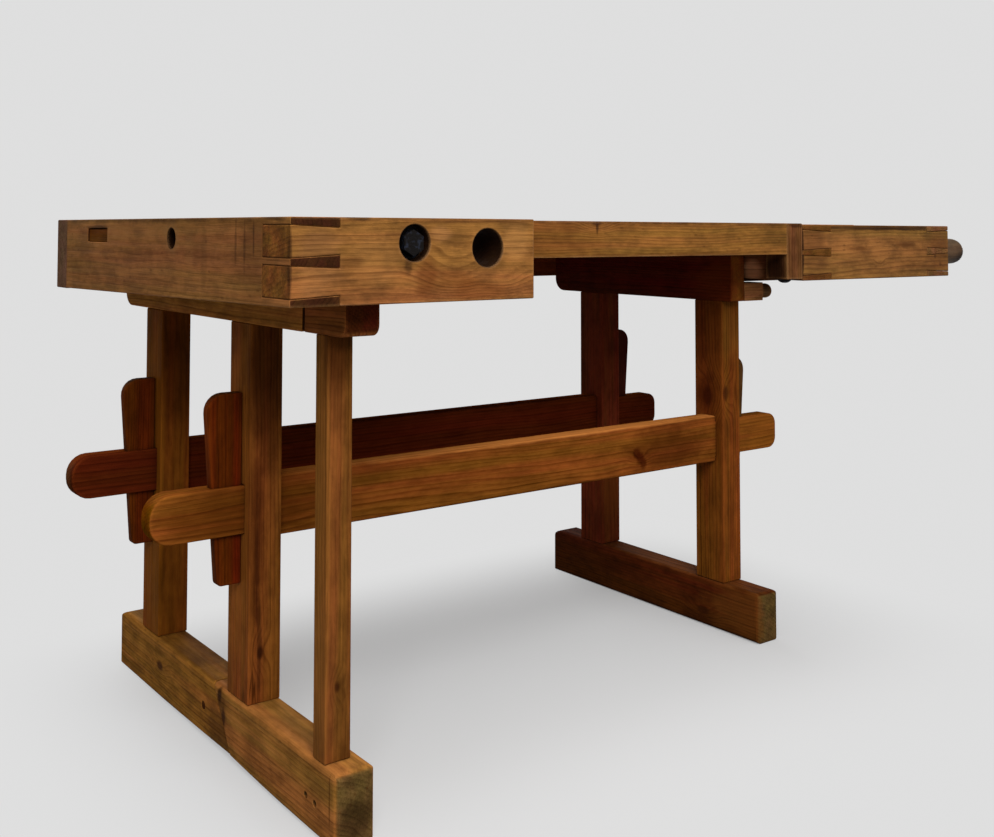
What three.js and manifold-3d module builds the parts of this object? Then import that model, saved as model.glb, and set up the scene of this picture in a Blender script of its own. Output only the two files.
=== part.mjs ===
// Joiner's workbench: a plank top with a dog-leg shoulder vise arm at the left, an L-shaped
// tail vise at the right and a knock-down trestle base held by tusk wedges.
// Millimetres, +Z up. Lengths run along X from the outer face of the left end cap, depths along Y
// from the front face of the vise arm, and heights along Z from the floor. The finished group is
// then centred over the middle of its footprint.

import * as THREE from 'three';
import { mergeVertices } from 'three/addons/utils/BufferGeometryUtils.js';
import Module from 'manifold-3d';

const wasm = await Module();
wasm.setup();

// Clearances
const FIT = 0.3; // glued or driven joint, on each side
const RUN = 0.5; // sliding or turning fit, on each side
const CUT = 1; // how far a cut runs past the face it opens

// Bench top
const TOP_Z = 820; // working surface above the floor
const SLAB_T = 60; // thickness of the two planks
const SLAB_L = 1496; // length of the planks between the end caps
const SLAB_FRONT = 154; // front edge of the planks behind the front face of the arm
const DOG_PLANK_W = 88;
const REAR_PLANK_W = 332;
const TRAY_W = 276;
const TRAY_T = 16;
const RAIL_T = 55;
const CAP_T = 72;
const CAP_DROP = 14; // the left cap and the rail are this much deeper at the back than the arm
const TONGUE_L = 28; // tongue of the rear plank in each end cap
const TONGUE_T = 24;
const TONGUE_INSET = 20;

// Shoulder vise
const ARM_L = 394; // from the outer face of the left cap
const ARM_T = 74;
const ARM_H = 112;
const SPACER_L = 164;
const SCREW_HOLE_X = 310;
const SCREW_HOLE_DROP = 40; // centre below the top
const SCREW_HOLE_R = 26.5;
const PIN_TIP = 10; // narrow end of a dovetail pin
const PIN_FLARE = 3.5; // how much each side of a pin widens towards its root

// Bench dog holes
const DOG_X = 24;
const DOG_Y = 28;
const DOG_INSET = 28; // centre line behind the front edge
const DOG_COUNT = 6;
const DOG_FIRST = 440;
const DOG_LAST_IN = 81; // last dog hole in from the fixed jaw
const VISE_DOG_COUNT = 3;
const VISE_DOG_FIRST = 61; // from the inner end of the jaw block
const VISE_DOG_PITCH = 110;

// Bolts and nuts
const BOLT_R = 7;
const NUT_W = 26;
const NUT_T = 14;
const BOLT_TIP = 8; // bolt end past its nut
const TIE_X = 187;
const TIE_DROP = 33; // axis below the top
const TIE_RECESS_R = 24.5;
const TIE_RECESS = 18;
const TIE_HEAD_R = 18;
const TIE_HEAD_T = 12;
const TIE_WASHER_R = 22;
const TIE_WASHER_T = 4;
const TIE_NUT_Y = 270;
const CAP_BOLT_Y = 367;
const CAP_BOLT_DROP = 30; // axis below the top
const CAP_BOLT_RECESS_R = 15.5;
const CAP_BOLT_RECESS = 24;
const CAP_BOLT_HEAD_W = 20;
const CAP_BOLT_HEAD_T = 10;
const CAP_NUT_IN = 126; // nut pocket in from the end of the plank
const RIGHT_BOLT_Y = 450;

// Plug let into the face of the left cap
const PLUG_Y = 640;
const PLUG_W = 96;
const PLUG_DROP = 15; // upper edge below the top
const PLUG_H = 24;
const PLUG_IN = 30;
const PLUG_SUNK = 3;
const PLUG_CRACK = 2; // open crack above the plug

// Pegs
const RAIL_PEG_R = 8;
const RAIL_PEG_L = 105;
const TOP_PEG_R = 10;
const TOP_PEG_L = 75;
const TOP_PEG_IN_SLAB = 34;
const LEFT_TOP_PEG_Y = 450;
const RIGHT_TOP_PEG_Y = 520;

// Tail vise
const VISE_L = 513.5; // length of the sliding part
const FIXED_JAW_L = 47;
const FIXED_JAW_H = 108;
const CLOSED_GAP = 1.5; // between the closed jaws
const VISE_H = 109;
const VISE_SAG = 2.5; // the vise hangs this much below the top
const BOARD_T = 50; // front board and fixed jaw
const JAW_L = 91;
const END_L = 83;
const VISE_D = 164; // front face to back of the blocks
const NOTCH_GAP = 4; // behind the vise, to the rear plank
const LID_T = 16;
const LID_GAP = 4.5; // lid to the nose of the right cap
const NOSE_GAP = 2.5; // front board to the nose of the right cap
const END_GAP = 10; // right cap to the closed end block
const RUNNER_W = 30;
const RUNNER_H = 30;
const RUNNER_INSET = 8;
const RUNNER_GAP = 4; // around the runner where it passes the right cap
const RUNNER_TONGUE_L = 17;
const RUNNER_TONGUE_T = 12;
const RUNNER_TONGUE_UP = 10;
const GUIDE_W = 50;
const GUIDE_DROP = 60; // guide rail below the planks
const JAW_BOLT_R = 6;
const JAW_BOLT_L = 66;
const JAW_BOLT_HEAD_R = 13;
const JAW_BOLT_HEAD_T = 8;

// Tail vise screw
const SCREW_IN = 82; // axis behind the front face of the vise
const SCREW_DROP = 60; // axis below the top
const SCREW_R = 21.5;
const THREAD_DEPTH = 4;
const THREAD_PITCH = 14;
const THREAD_TURNS = 20;
const THREAD_SIDES = 12;
const THREAD_STEPS = 4; // rings in one turn
const NECK_GROOVE_R = 15;
const GARTER_T = 14;
const GARTER_IN = 34; // from the inner face of the end block
const GARTER_W = 52;
const GARTER_UP = 10; // above the screw axis
const HUB_L = 176;
const HUB_R = 29;
const HUB_COLLAR_R = 32;
const HUB_COLLAR_L = 22;
const HUB_DOME_L = 28;
const TOMMY_R = 9.5;
const TOMMY_IN = 62; // from the end of the hub

// Trestles
const LEFT_X = 108; // outer face of the left posts
const RIGHT_PAST_JAW = 1; // inner face of the right posts past the left face of the fixed jaw
const POST_X = 54;
const POST_Y = 70;
const NEAR_POST_Y = 314;
const FAR_POST_Y = 656;
const POST_TENON_X = 20;
const POST_TENON_Y = 46;
const POST_TENON_L = 50;
const LEFT_FOOT_H = 98;
const LEFT_FOOT_X = 60;
const LEFT_FOOT_FRONT_X = 62;
const LEFT_FOOT_Y0 = 56;
const LEFT_FOOT_Y1 = 828;
const RIGHT_FOOT_H = 95;
const RIGHT_FOOT_X = 62;
const RIGHT_FOOT_Y0 = 228;
const RIGHT_FOOT_Y1 = 816;
const FOOT_ROUND = 24;
const FOOT_EDGE = 9; // worn edges all round
const FOOT_ARCH = 9; // the left foot is hollowed this much at the scarf
const FOOT_PAD = 90; // length of the left foot that bears on the floor at each end
const SCARF_Y = 357; // joint of the two foot pieces at the floor
const SCARF_RUN = 68; // how far the joint leans back over the foot's height
const SCARF_GAP = 3;
const SCARF_TONGUE_X = 20;
const SCARF_TONGUE_Z = 40;
const SCARF_TONGUE_L = 75;
const SCARF_PEG_R = 6;
const NAIL_HOLE_R = 4.5;
const NAIL_HOLE_IN = 16;
const NAIL_HOLES = [[134, 44], [110, 42]]; // depth along the foot and height
const BEAM_H = 98; // depth of both beams under the planks
const BEAM_ROUND = 28;
const LEFT_BEAM_Y0 = 160;
const LEFT_BEAM_Y1 = 832;
const RIGHT_BEAM_X = 42;
const RIGHT_BEAM_PAST_POST = 24; // front end of the right beam in front of its post
const RIGHT_BEAM_Y1 = 812;
const BEARER_Y0 = 45;
const BEARER_ROUND = 16;
const BEARER_TENON_L = 44;
const BEARER_TENON_X = 20;
const BEARER_TENON_Z = 26;
const FRONT_POST_X = 40;
const FRONT_POST_Y0 = 90;
const FRONT_POST_Y = 32;
const FRONT_TENON_X = 16;
const FRONT_TENON_Y = 18;
const FRONT_TENON_L = 32;
const BEAM_PEG_R = 10; // round tenon in the beam
const BEAM_PEG_IN = 36;
const BEAM_PEG_BLOCK_X = 58; // square part beside the beam
const BEAM_PEG_NOSE_R = 15;
const BEAM_PEG_NOSE_L = 40;
const BEAM_PEG_DOME = 10;
const BEAM_PEG_GAP = 1; // under the guide rail of the tail vise

// Stretchers and tusk wedges
const STRETCHER_Z = 382;
const STRETCHER_H = 92;
const STRETCHER_Y = 34;
const TENON_H = 72;
const TENON_OUT_LEFT = 150;
const TENON_OUT_RIGHT = 138;
const TENON_ROUND_LEFT = 33;
const TENON_ROUND_RIGHT = 22;
const WEDGE_T = 18;
const WEDGE_L = 286;
const WEDGE_TOP_W = 60;
const WEDGE_TIP_W = 39;
const WEDGE_SLIM = 12; // the near right wedge is this much narrower than the others
const WEDGE_ROUND = 30;
const WEDGE_TIP_ROUND = 8;
const WEDGE_ROOM = 8; // slot in the tenon, past the face of the post
const LEFT_NEAR_WEDGE_UP = 175; // top of each wedge above the middle of the stretchers
const LEFT_FAR_WEDGE_UP = 159;
const RIGHT_NEAR_WEDGE_UP = 161;
const RIGHT_FAR_WEDGE_UP = 191;

// Flats round turned and drilled shapes
const ROUND_SIDES = 24;
const BIG_HOLE_SIDES = 32;
const PEG_SIDES = 16;
const NAIL_HOLE_SIDES = 12;
const HEX_SIDES = 6;

// Places worked out from the sizes above
const slabBottom = TOP_Z - SLAB_T;
const plankJoint = SLAB_FRONT + DOG_PLANK_W;
const slabBack = plankJoint + REAR_PLANK_W;
const trayBack = slabBack + TRAY_W;
const topBack = trayBack + RAIL_T;
const armBottom = TOP_Z - ARM_H;
const beamZ = slabBottom - BEAM_H;
const beamPegTop = slabBottom - GUIDE_DROP - BEAM_PEG_GAP;
const beamPegZ = (beamZ + beamPegTop) / 2;
const screwHoleZ = TOP_Z - SCREW_HOLE_DROP;
const tieZ = TOP_Z - TIE_DROP;
const capBoltZ = TOP_Z - CAP_BOLT_DROP;
const plugZ1 = TOP_Z - PLUG_DROP;
const plugZ0 = plugZ1 - PLUG_H;
const screwZ = TOP_Z - SCREW_DROP;
const rightCap = CAP_T + SLAB_L;
const topRight = rightCap + CAP_T;
const viseTop = TOP_Z - VISE_SAG;
const viseBottom = viseTop - VISE_H;
const boardBack = SLAB_FRONT + BOARD_T;
const viseBack = SLAB_FRONT + VISE_D;
const notchBack = viseBack + NOTCH_GAP;
const endStart = topRight + END_GAP;
const viseX1 = endStart + END_L;
const viseX0 = viseX1 - VISE_L;
const jawEnd = viseX0 + JAW_L;
const fixedJawX1 = viseX0 - CLOSED_GAP;
const fixedJawX0 = fixedJawX1 - FIXED_JAW_L;
const dogPitch = (fixedJawX0 - DOG_LAST_IN - DOG_FIRST) / (DOG_COUNT - 1);
const screwY = SLAB_FRONT + SCREW_IN;
const hubEnd = viseX1 + RUN + HUB_L;
const leftInner = LEFT_X + POST_X;
const rightX = fixedJawX0 + RIGHT_PAST_JAW;
const rightOuter = rightX + POST_X;
const stretcherLeft = LEFT_X - TENON_OUT_LEFT;
const stretcherRight = rightOuter + TENON_OUT_RIGHT;
const nearY = NEAR_POST_Y + POST_Y / 2;
const farY = FAR_POST_Y + POST_Y / 2;
const leftMiddleX = LEFT_X + POST_X / 2;
const rightMiddleX = rightX + RIGHT_BEAM_X / 2;
const rightBeamY0 = NEAR_POST_Y - RIGHT_BEAM_PAST_POST;
const beamPegY = (rightBeamY0 + nearY - POST_TENON_Y / 2) / 2;

// Solids from three.js geometry

function toSolid(geometry) {
  geometry.deleteAttribute('normal');
  geometry.deleteAttribute('uv');
  const merged = mergeVertices(geometry);
  return new wasm.Manifold(new wasm.Mesh({
    numProp: 3,
    vertProperties: new Float32Array(merged.attributes.position.array),
    triVerts: new Uint32Array(merged.index.array),
  }));
}

function box(x0, x1, y0, y1, z0, z1) {
  const geometry = new THREE.BoxGeometry(x1 - x0, y1 - y0, z1 - z0);
  geometry.translate((x0 + x1) / 2, (y0 + y1) / 2, (z0 + z1) / 2);
  return toSolid(geometry);
}

// A round bar along X, Y or Z between two places on that axis
function rodX(y, z, radius, x0, x1, sides = ROUND_SIDES) {
  const geometry = new THREE.CylinderGeometry(radius, radius, x1 - x0, sides);
  geometry.rotateZ(-Math.PI / 2);
  geometry.translate((x0 + x1) / 2, y, z);
  return toSolid(geometry);
}

function rodY(x, z, radius, y0, y1, sides = ROUND_SIDES) {
  const geometry = new THREE.CylinderGeometry(radius, radius, y1 - y0, sides);
  geometry.translate(x, (y0 + y1) / 2, z);
  return toSolid(geometry);
}

function rodZ(x, y, radius, z0, z1, sides = ROUND_SIDES) {
  const geometry = new THREE.CylinderGeometry(radius, radius, z1 - z0, sides);
  geometry.rotateX(Math.PI / 2);
  geometry.translate(x, y, (z0 + z1) / 2);
  return toSolid(geometry);
}

// Outline through corner points [a, b] or [a, b, radius], with the rounded ones as curves
function outline(corners) {
  const ROUNDNESS = 0.5523;
  const shape = new THREE.Shape();
  const at = (i) => new THREE.Vector2(...corners[(i + corners.length) % corners.length].slice(0, 2));
  corners.forEach(([, , radius = 0], i) => {
    const corner = at(i);
    const before = at(i - 1).sub(corner).setLength(radius).add(corner);
    const after = at(i + 1).sub(corner).setLength(radius).add(corner);
    if (i === 0) shape.moveTo(before.x, before.y);
    else shape.lineTo(before.x, before.y);
    if (radius > 0) {
      const leave = before.clone().lerp(corner, ROUNDNESS);
      const arrive = after.clone().lerp(corner, ROUNDNESS);
      shape.bezierCurveTo(leave.x, leave.y, arrive.x, arrive.y, after.x, after.y);
    }
  });
  shape.closePath();
  return shape;
}

function extrude(corners, depth) {
  return new THREE.ExtrudeGeometry(outline(corners), { depth, bevelEnabled: false, curveSegments: 6 });
}

// Outline of (y, z) corners run along X
function prismX(corners, x0, x1) {
  const geometry = extrude(corners, x1 - x0);
  const turn = new THREE.Matrix4().makeBasis(
    new THREE.Vector3(0, 1, 0), new THREE.Vector3(0, 0, 1), new THREE.Vector3(1, 0, 0));
  geometry.applyMatrix4(turn);
  geometry.translate(x0, 0, 0);
  return toSolid(geometry);
}

// Outline of (x, z) corners run along Y
function prismY(corners, y0, y1) {
  const geometry = extrude(corners, y1 - y0);
  geometry.rotateX(Math.PI / 2);
  geometry.translate(0, y1, 0);
  return toSolid(geometry);
}

// Outline of (x, y) corners run along Z
function prismZ(corners, z0, z1) {
  const geometry = extrude(corners, z1 - z0);
  geometry.translate(0, 0, z0);
  return toSolid(geometry);
}

// Turned shape: [radius, place] points spun about a line along X or Z
function turnedX(profile, y, z) {
  const geometry = new THREE.LatheGeometry(profile.map(([r, h]) => new THREE.Vector2(r, h)), ROUND_SIDES);
  geometry.rotateZ(-Math.PI / 2);
  geometry.translate(0, y, z);
  return toSolid(geometry);
}

function turnedZ(profile, x, y) {
  const geometry = new THREE.LatheGeometry(profile.map(([r, h]) => new THREE.Vector2(r, h)), ROUND_SIDES);
  geometry.rotateX(Math.PI / 2);
  geometry.translate(x, y, 0);
  return toSolid(geometry);
}

// Quarter round of a turned end, from the full radius at start to the axis at start + length
function dome(radius, start, length, steps = 5) {
  return Array.from({ length: steps + 1 }, (_, i) => {
    const turn = (Math.PI / 2) * (i / steps);
    return [i === steps ? 0 : radius * Math.cos(turn), start + length * Math.sin(turn)];
  });
}

// A cut made with clearance also runs past the face it opens
const past = (grow) => (grow > 0 ? CUT : 0);

// Named meshes

const bench = new THREE.Group();

const WOODS = {
  top: { color: 0xc68a4e, roughness: 0.62 },
  arm: { color: 0xcf8f50, roughness: 0.6 },
  cap: { color: 0xb88a5c, roughness: 0.66 },
  vise: { color: 0xc9986a, roughness: 0.62 },
  base: { color: 0x94602f, roughness: 0.68 },
  foot: { color: 0xa9733e, roughness: 0.68 },
};

const wood = (kind) => new THREE.MeshStandardMaterial({ ...WOODS[kind], metalness: 0, flatShading: true });

const iron = () => new THREE.MeshStandardMaterial({
  color: 0x2b2724, roughness: 0.55, metalness: 0.85, flatShading: true,
});

function add(name, solid, material) {
  const { vertProperties, triVerts } = solid.getMesh();
  const geometry = new THREE.BufferGeometry();
  geometry.setAttribute('position', new THREE.BufferAttribute(vertProperties, 3));
  geometry.setIndex(new THREE.BufferAttribute(triVerts, 1));
  const mesh = new THREE.Mesh(geometry, material);
  mesh.name = name;
  bench.add(mesh);
}

// Dovetails: two tails between half pins at the bottom and top and one pin in the middle
function tails(end, root, z0, z1, y0, y1, grow = 0) {
  const middle = (z0 + z1) / 2;
  const outward = Math.sign(end - root);
  const into = root - outward * CUT;
  const open = end + outward * past(grow);
  const tail = (low, high) => prismY([
    ...(grow > 0 ? [[open, high + grow], [open, low - grow]] : []),
    [end, low - grow],
    [root, low + PIN_FLARE - grow],
    [into, low + PIN_FLARE - grow],
    [into, high - PIN_FLARE + grow],
    [root, high - PIN_FLARE + grow],
    [end, high + grow],
  ], y0, y1);
  return tail(z0 + PIN_TIP, middle - PIN_TIP / 2).add(tail(middle + PIN_TIP / 2, z1 - PIN_TIP));
}

// Pocket for a square nut, open below, around a bolt along X or Y
function nutPocket(x, y, z, sizeX, sizeY, floor) {
  const halfX = sizeX / 2 + FIT;
  const halfY = sizeY / 2 + FIT;
  return box(x - halfX, x + halfX, y - halfY, y + halfY, floor, z + NUT_W / 2 + FIT);
}

// Left end cap, with its plug and bolt

const capBottom = (y) => armBottom - CAP_DROP * (y / topBack);
const tongueY0 = plankJoint + TONGUE_INSET;
const tongueY1 = slabBack - TONGUE_INSET;
const tongueZ0 = slabBottom + (SLAB_T - TONGUE_T) / 2;

const tongue = (x0, x1, y0, grow = 0) => box(
  x0, x1, y0 - grow, tongueY1 + grow, tongueZ0 - grow, tongueZ0 + TONGUE_T + grow);

const leftNutX = CAP_T + CAP_NUT_IN;
const leftBoltEnd = leftNutX + NUT_T / 2 + BOLT_TIP;
const rightNutX = rightCap - CAP_NUT_IN;
const rightBoltEnd = rightNutX - NUT_T / 2 - BOLT_TIP;
const rightBoltSeat = topRight - CAP_BOLT_RECESS;

const railPeg = (x, grow = 0) => rodY(
  x, slabBottom, RAIL_PEG_R + grow, topBack - RAIL_PEG_L - grow, topBack + past(grow));
const leftRailPegX = CAP_T / 2;
const rightRailPegX = rightCap + CAP_T / 2;

add('left_end_cap', prismX([
  [0, TOP_Z], [trayBack, TOP_Z], [trayBack, capBottom(trayBack)], [0, armBottom],
], 0, CAP_T)
  .subtract(tails(0, CAP_T, armBottom, TOP_Z, -CUT, ARM_T, FIT))
  .subtract(tongue(CAP_T - TONGUE_L - FIT, CAP_T + CUT, tongueY0, FIT))
  .subtract(rodX(CAP_BOLT_Y, capBoltZ, CAP_BOLT_RECESS_R, -CUT, CAP_BOLT_RECESS))
  .subtract(rodX(CAP_BOLT_Y, capBoltZ, BOLT_R + RUN, 0, CAP_T + CUT))
  .subtract(box(-CUT, PLUG_IN, PLUG_Y, PLUG_Y + PLUG_W, plugZ0, plugZ1))
  .subtract(railPeg(leftRailPegX, FIT)), wood('cap'));

add('end_cap_plug', box(
  PLUG_SUNK, PLUG_IN, PLUG_Y + FIT, PLUG_Y + PLUG_W - FIT,
  plugZ0, plugZ1 - PLUG_CRACK), wood('cap'));

const squareBoltX = (seat, toward, end, y) => {
  const head = seat - toward * CAP_BOLT_HEAD_T;
  const half = CAP_BOLT_HEAD_W / 2;
  const shank = seat - toward * CUT;
  return box(
    Math.min(seat, head), Math.max(seat, head), y - half, y + half,
    capBoltZ - half, capBoltZ + half)
    .add(rodX(y, capBoltZ, BOLT_R, Math.min(shank, end), Math.max(shank, end)));
};

const squareNutX = (x, y) => box(
  x - NUT_T / 2, x + NUT_T / 2, y - NUT_W / 2, y + NUT_W / 2, capBoltZ - NUT_W / 2, capBoltZ + NUT_W / 2)
  .subtract(rodX(y, capBoltZ, BOLT_R + FIT, x - NUT_T, x + NUT_T));

add('left_cap_bolt', squareBoltX(CAP_BOLT_RECESS, 1, leftBoltEnd, CAP_BOLT_Y), iron());
add('left_cap_nut', squareNutX(leftNutX, CAP_BOLT_Y), iron());

// Shoulder vise arm, spacer block and the bolt that ties them to the planks

add('shoulder_vise_arm', box(CAP_T, ARM_L, 0, ARM_T, armBottom, TOP_Z)
  .add(tails(0, CAP_T, armBottom, TOP_Z, 0, ARM_T))
  .subtract(rodY(SCREW_HOLE_X, screwHoleZ, SCREW_HOLE_R, -CUT, ARM_T + CUT, BIG_HOLE_SIDES))
  .subtract(rodY(TIE_X, tieZ, TIE_RECESS_R, -CUT, TIE_RECESS))
  .subtract(rodY(TIE_X, tieZ, BOLT_R + RUN, 0, ARM_T + CUT)), wood('arm'));

add('shoulder_spacer_block', box(CAP_T, CAP_T + SPACER_L, ARM_T, SLAB_FRONT, armBottom, TOP_Z)
  .subtract(rodY(TIE_X, tieZ, BOLT_R + RUN, ARM_T - CUT, SLAB_FRONT + CUT)), wood('arm'));

const tieSeat = TIE_RECESS - TIE_WASHER_T;
const tieNutY = TIE_NUT_Y + NUT_T / 2;
const tieEnd = TIE_NUT_Y + NUT_T + BOLT_TIP;

add('tie_bolt', rodY(TIE_X, tieZ, TIE_HEAD_R, tieSeat - TIE_HEAD_T, tieSeat, HEX_SIDES)
  .add(rodY(TIE_X, tieZ, BOLT_R, tieSeat - CUT, tieEnd)), iron());

add('tie_bolt_washer', rodY(TIE_X, tieZ, TIE_WASHER_R, tieSeat, TIE_RECESS)
  .subtract(rodY(TIE_X, tieZ, BOLT_R + FIT, 0, TIE_RECESS + CUT)), iron());

add('tie_bolt_nut', box(
  TIE_X - NUT_W / 2, TIE_X + NUT_W / 2, TIE_NUT_Y, TIE_NUT_Y + NUT_T, tieZ - NUT_W / 2, tieZ + NUT_W / 2)
  .subtract(rodY(TIE_X, tieZ, BOLT_R + FIT, TIE_NUT_Y - CUT, TIE_NUT_Y + NUT_T + CUT)), iron());

// Planks, with the dog holes along the front one

const dogHole = (x, z0, z1) => {
  const y = SLAB_FRONT + DOG_INSET;
  return box(x - DOG_X / 2, x + DOG_X / 2, y - DOG_Y / 2, y + DOG_Y / 2, z0 - CUT, z1 + CUT);
};

let dogPlank = prismZ([
  [CAP_T, SLAB_FRONT],
  [fixedJawX0, SLAB_FRONT],
  [fixedJawX0, boardBack],
  [fixedJawX1, boardBack],
  [fixedJawX1, plankJoint],
  [CAP_T, plankJoint],
], slabBottom, TOP_Z).subtract(rodY(TIE_X, tieZ, BOLT_R + RUN, SLAB_FRONT - CUT, plankJoint + CUT));
for (let i = 0; i < DOG_COUNT; i += 1) {
  dogPlank = dogPlank.subtract(dogHole(DOG_FIRST + i * dogPitch, slabBottom, TOP_Z));
}
add('dog_hole_plank', dogPlank, wood('top'));

const rightTongueY0 = notchBack + TONGUE_INSET;
const topPeg = (x, y, grow = 0) => rodZ(
  x, y, TOP_PEG_R + grow, slabBottom + TOP_PEG_IN_SLAB - TOP_PEG_L - grow,
  slabBottom + TOP_PEG_IN_SLAB + past(grow));

add('rear_plank', prismZ([
  [CAP_T, plankJoint],
  [fixedJawX1, plankJoint],
  [fixedJawX1, notchBack],
  [rightCap, notchBack],
  [rightCap, slabBack],
  [CAP_T, slabBack],
], slabBottom, TOP_Z)
  .add(tongue(CAP_T - TONGUE_L, CAP_T + CUT, tongueY0))
  .add(tongue(rightCap - CUT, rightCap + TONGUE_L, rightTongueY0))
  .subtract(rodY(TIE_X, tieZ, BOLT_R + RUN, plankJoint - CUT, tieEnd + CUT))
  .subtract(nutPocket(TIE_X, tieNutY, tieZ, NUT_W, NUT_T, slabBottom - CUT))
  .subtract(rodX(CAP_BOLT_Y, capBoltZ, BOLT_R + RUN, 0, leftBoltEnd + CUT))
  .subtract(nutPocket(leftNutX, CAP_BOLT_Y, capBoltZ, NUT_T, NUT_W, slabBottom - CUT))
  .subtract(rodX(RIGHT_BOLT_Y, capBoltZ, BOLT_R + RUN, rightBoltEnd - CUT, topRight))
  .subtract(nutPocket(rightNutX, RIGHT_BOLT_Y, capBoltZ, NUT_T, NUT_W, slabBottom - CUT))
  .subtract(topPeg(leftMiddleX, LEFT_TOP_PEG_Y, FIT))
  .subtract(topPeg(rightMiddleX, RIGHT_TOP_PEG_Y, FIT)), wood('top'));

// Tool tray and back rail

add('tray_bottom', box(CAP_T, rightCap, slabBack, trayBack, slabBottom, slabBottom + TRAY_T), wood('top'));

add('back_rail', box(0, topRight, trayBack, topBack, armBottom - CAP_DROP, TOP_Z)
  .subtract(railPeg(leftRailPegX, FIT))
  .subtract(railPeg(rightRailPegX, FIT)), wood('cap'));

add('left_rail_peg', railPeg(leftRailPegX), wood('base'));
add('right_rail_peg', railPeg(rightRailPegX), wood('base'));

// Right end cap: its nose reaches into the tail vise and carries the thread for the screw

const noseTop = viseTop - LID_T - LID_GAP;
const runnerY0 = viseBack - RUNNER_W;
const runnerTongueEnd = viseBack + RUNNER_TONGUE_L;
const runnerTongueZ = viseBottom + RUNNER_TONGUE_UP;

add('right_end_cap', box(rightCap, topRight, notchBack, trayBack, armBottom, TOP_Z)
  .add(box(rightCap, topRight, boardBack + NOSE_GAP, notchBack + CUT, armBottom, noseTop))
  .subtract(box(
    rightCap - CUT, topRight + CUT, runnerY0 - RUNNER_GAP, runnerTongueEnd + RUNNER_GAP,
    armBottom - CUT, viseBottom + RUNNER_H + RUNNER_GAP))
  .subtract(rodX(screwY, screwZ, SCREW_R + RUN, rightCap - CUT, topRight + CUT))
  .subtract(tongue(rightCap - CUT, rightCap + TONGUE_L + FIT, rightTongueY0, FIT))
  .subtract(rodX(RIGHT_BOLT_Y, capBoltZ, CAP_BOLT_RECESS_R, rightBoltSeat, topRight + CUT))
  .subtract(rodX(RIGHT_BOLT_Y, capBoltZ, BOLT_R + RUN, rightCap - CUT, topRight))
  .subtract(railPeg(rightRailPegX, FIT)), wood('cap'));

add('right_cap_bolt', squareBoltX(rightBoltSeat, -1, rightBoltEnd, RIGHT_BOLT_Y), iron());
add('right_cap_nut', squareNutX(rightNutX, RIGHT_BOLT_Y), iron());

// Fixed jaw of the tail vise and the bolt under it

const jawBoltX = (fixedJawX0 + fixedJawX1) / 2;
const jawBoltY = SLAB_FRONT + BOARD_T / 2;
const jawBottom = TOP_Z - FIXED_JAW_H;

add('fixed_jaw_block', box(fixedJawX0, fixedJawX1, SLAB_FRONT, boardBack, jawBottom, TOP_Z)
  .subtract(rodZ(
    jawBoltX, jawBoltY, JAW_BOLT_R + FIT, jawBottom - CUT, jawBottom + JAW_BOLT_L + FIT)), wood('vise'));

add('jaw_block_bolt', turnedZ([
  ...dome(JAW_BOLT_HEAD_R, jawBottom, -JAW_BOLT_HEAD_T).reverse(),
  [JAW_BOLT_R, jawBottom],
  [JAW_BOLT_R, jawBottom + JAW_BOLT_L],
  [0, jawBottom + JAW_BOLT_L],
], jawBoltX, jawBoltY), iron());

// Guide rail under the planks, with the groove that holds the runner up

add('vise_guide_rail', box(
  rightOuter, rightCap, notchBack, notchBack + GUIDE_W, slabBottom - GUIDE_DROP, slabBottom)
  .subtract(box(
    rightOuter - CUT, rightCap + CUT, notchBack - CUT, runnerTongueEnd + RUN,
    runnerTongueZ - RUN, runnerTongueZ + RUNNER_TONGUE_T + RUN)), wood('base'));

// Tail vise: front board dovetailed to the jaw and end blocks, lid, runner and garter key

const viseTails = (grow) => {
  const front = SLAB_FRONT - past(grow);
  return tails(viseX0, jawEnd, viseBottom, viseTop, front, boardBack, grow)
    .add(tails(viseX1, endStart, viseBottom, viseTop, front, boardBack, grow));
};

let frontBoard = box(jawEnd, endStart, SLAB_FRONT, boardBack, viseBottom, viseTop).add(viseTails(0));
for (let i = 0; i < VISE_DOG_COUNT; i += 1) {
  const x = jawEnd + VISE_DOG_FIRST + i * VISE_DOG_PITCH;
  frontBoard = frontBoard.subtract(dogHole(x, viseBottom, viseTop));
}
add('vise_front_board', frontBoard, wood('vise'));

const runnerHousing = box(
  viseX0 + RUNNER_INSET - FIT, viseX1 - RUNNER_INSET + FIT, runnerY0 - FIT, viseBack + CUT,
  viseBottom - CUT, viseBottom + RUNNER_H + FIT);

add('vise_jaw_block', box(viseX0, jawEnd, SLAB_FRONT, viseBack, viseBottom, viseTop)
  .subtract(viseTails(FIT))
  .subtract(runnerHousing), wood('vise'));

const garterX0 = endStart + GARTER_IN;
const garterX1 = garterX0 + GARTER_T;
const garterTop = screwZ + GARTER_UP;

add('vise_end_block', box(endStart, viseX1, SLAB_FRONT, viseBack, viseBottom, viseTop)
  .subtract(viseTails(FIT))
  .subtract(runnerHousing)
  .subtract(rodX(screwY, screwZ, SCREW_R + RUN, endStart - CUT, viseX1 + CUT))
  .subtract(box(
    garterX0 - FIT, garterX1 + FIT, screwY - GARTER_W / 2 - FIT, screwY + GARTER_W / 2 + FIT,
    viseBottom - CUT, garterTop + FIT)), wood('vise'));

add('vise_garter_key', box(
  garterX0, garterX1, screwY - GARTER_W / 2, screwY + GARTER_W / 2, viseBottom, garterTop)
  .subtract(rodX(screwY, screwZ, NECK_GROOVE_R + RUN, garterX0 - CUT, garterX1 + CUT))
  .subtract(box(
    garterX0 - CUT, garterX1 + CUT, screwY - NECK_GROOVE_R - RUN, screwY + NECK_GROOVE_R + RUN,
    screwZ, garterTop + CUT)), wood('base'));

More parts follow.
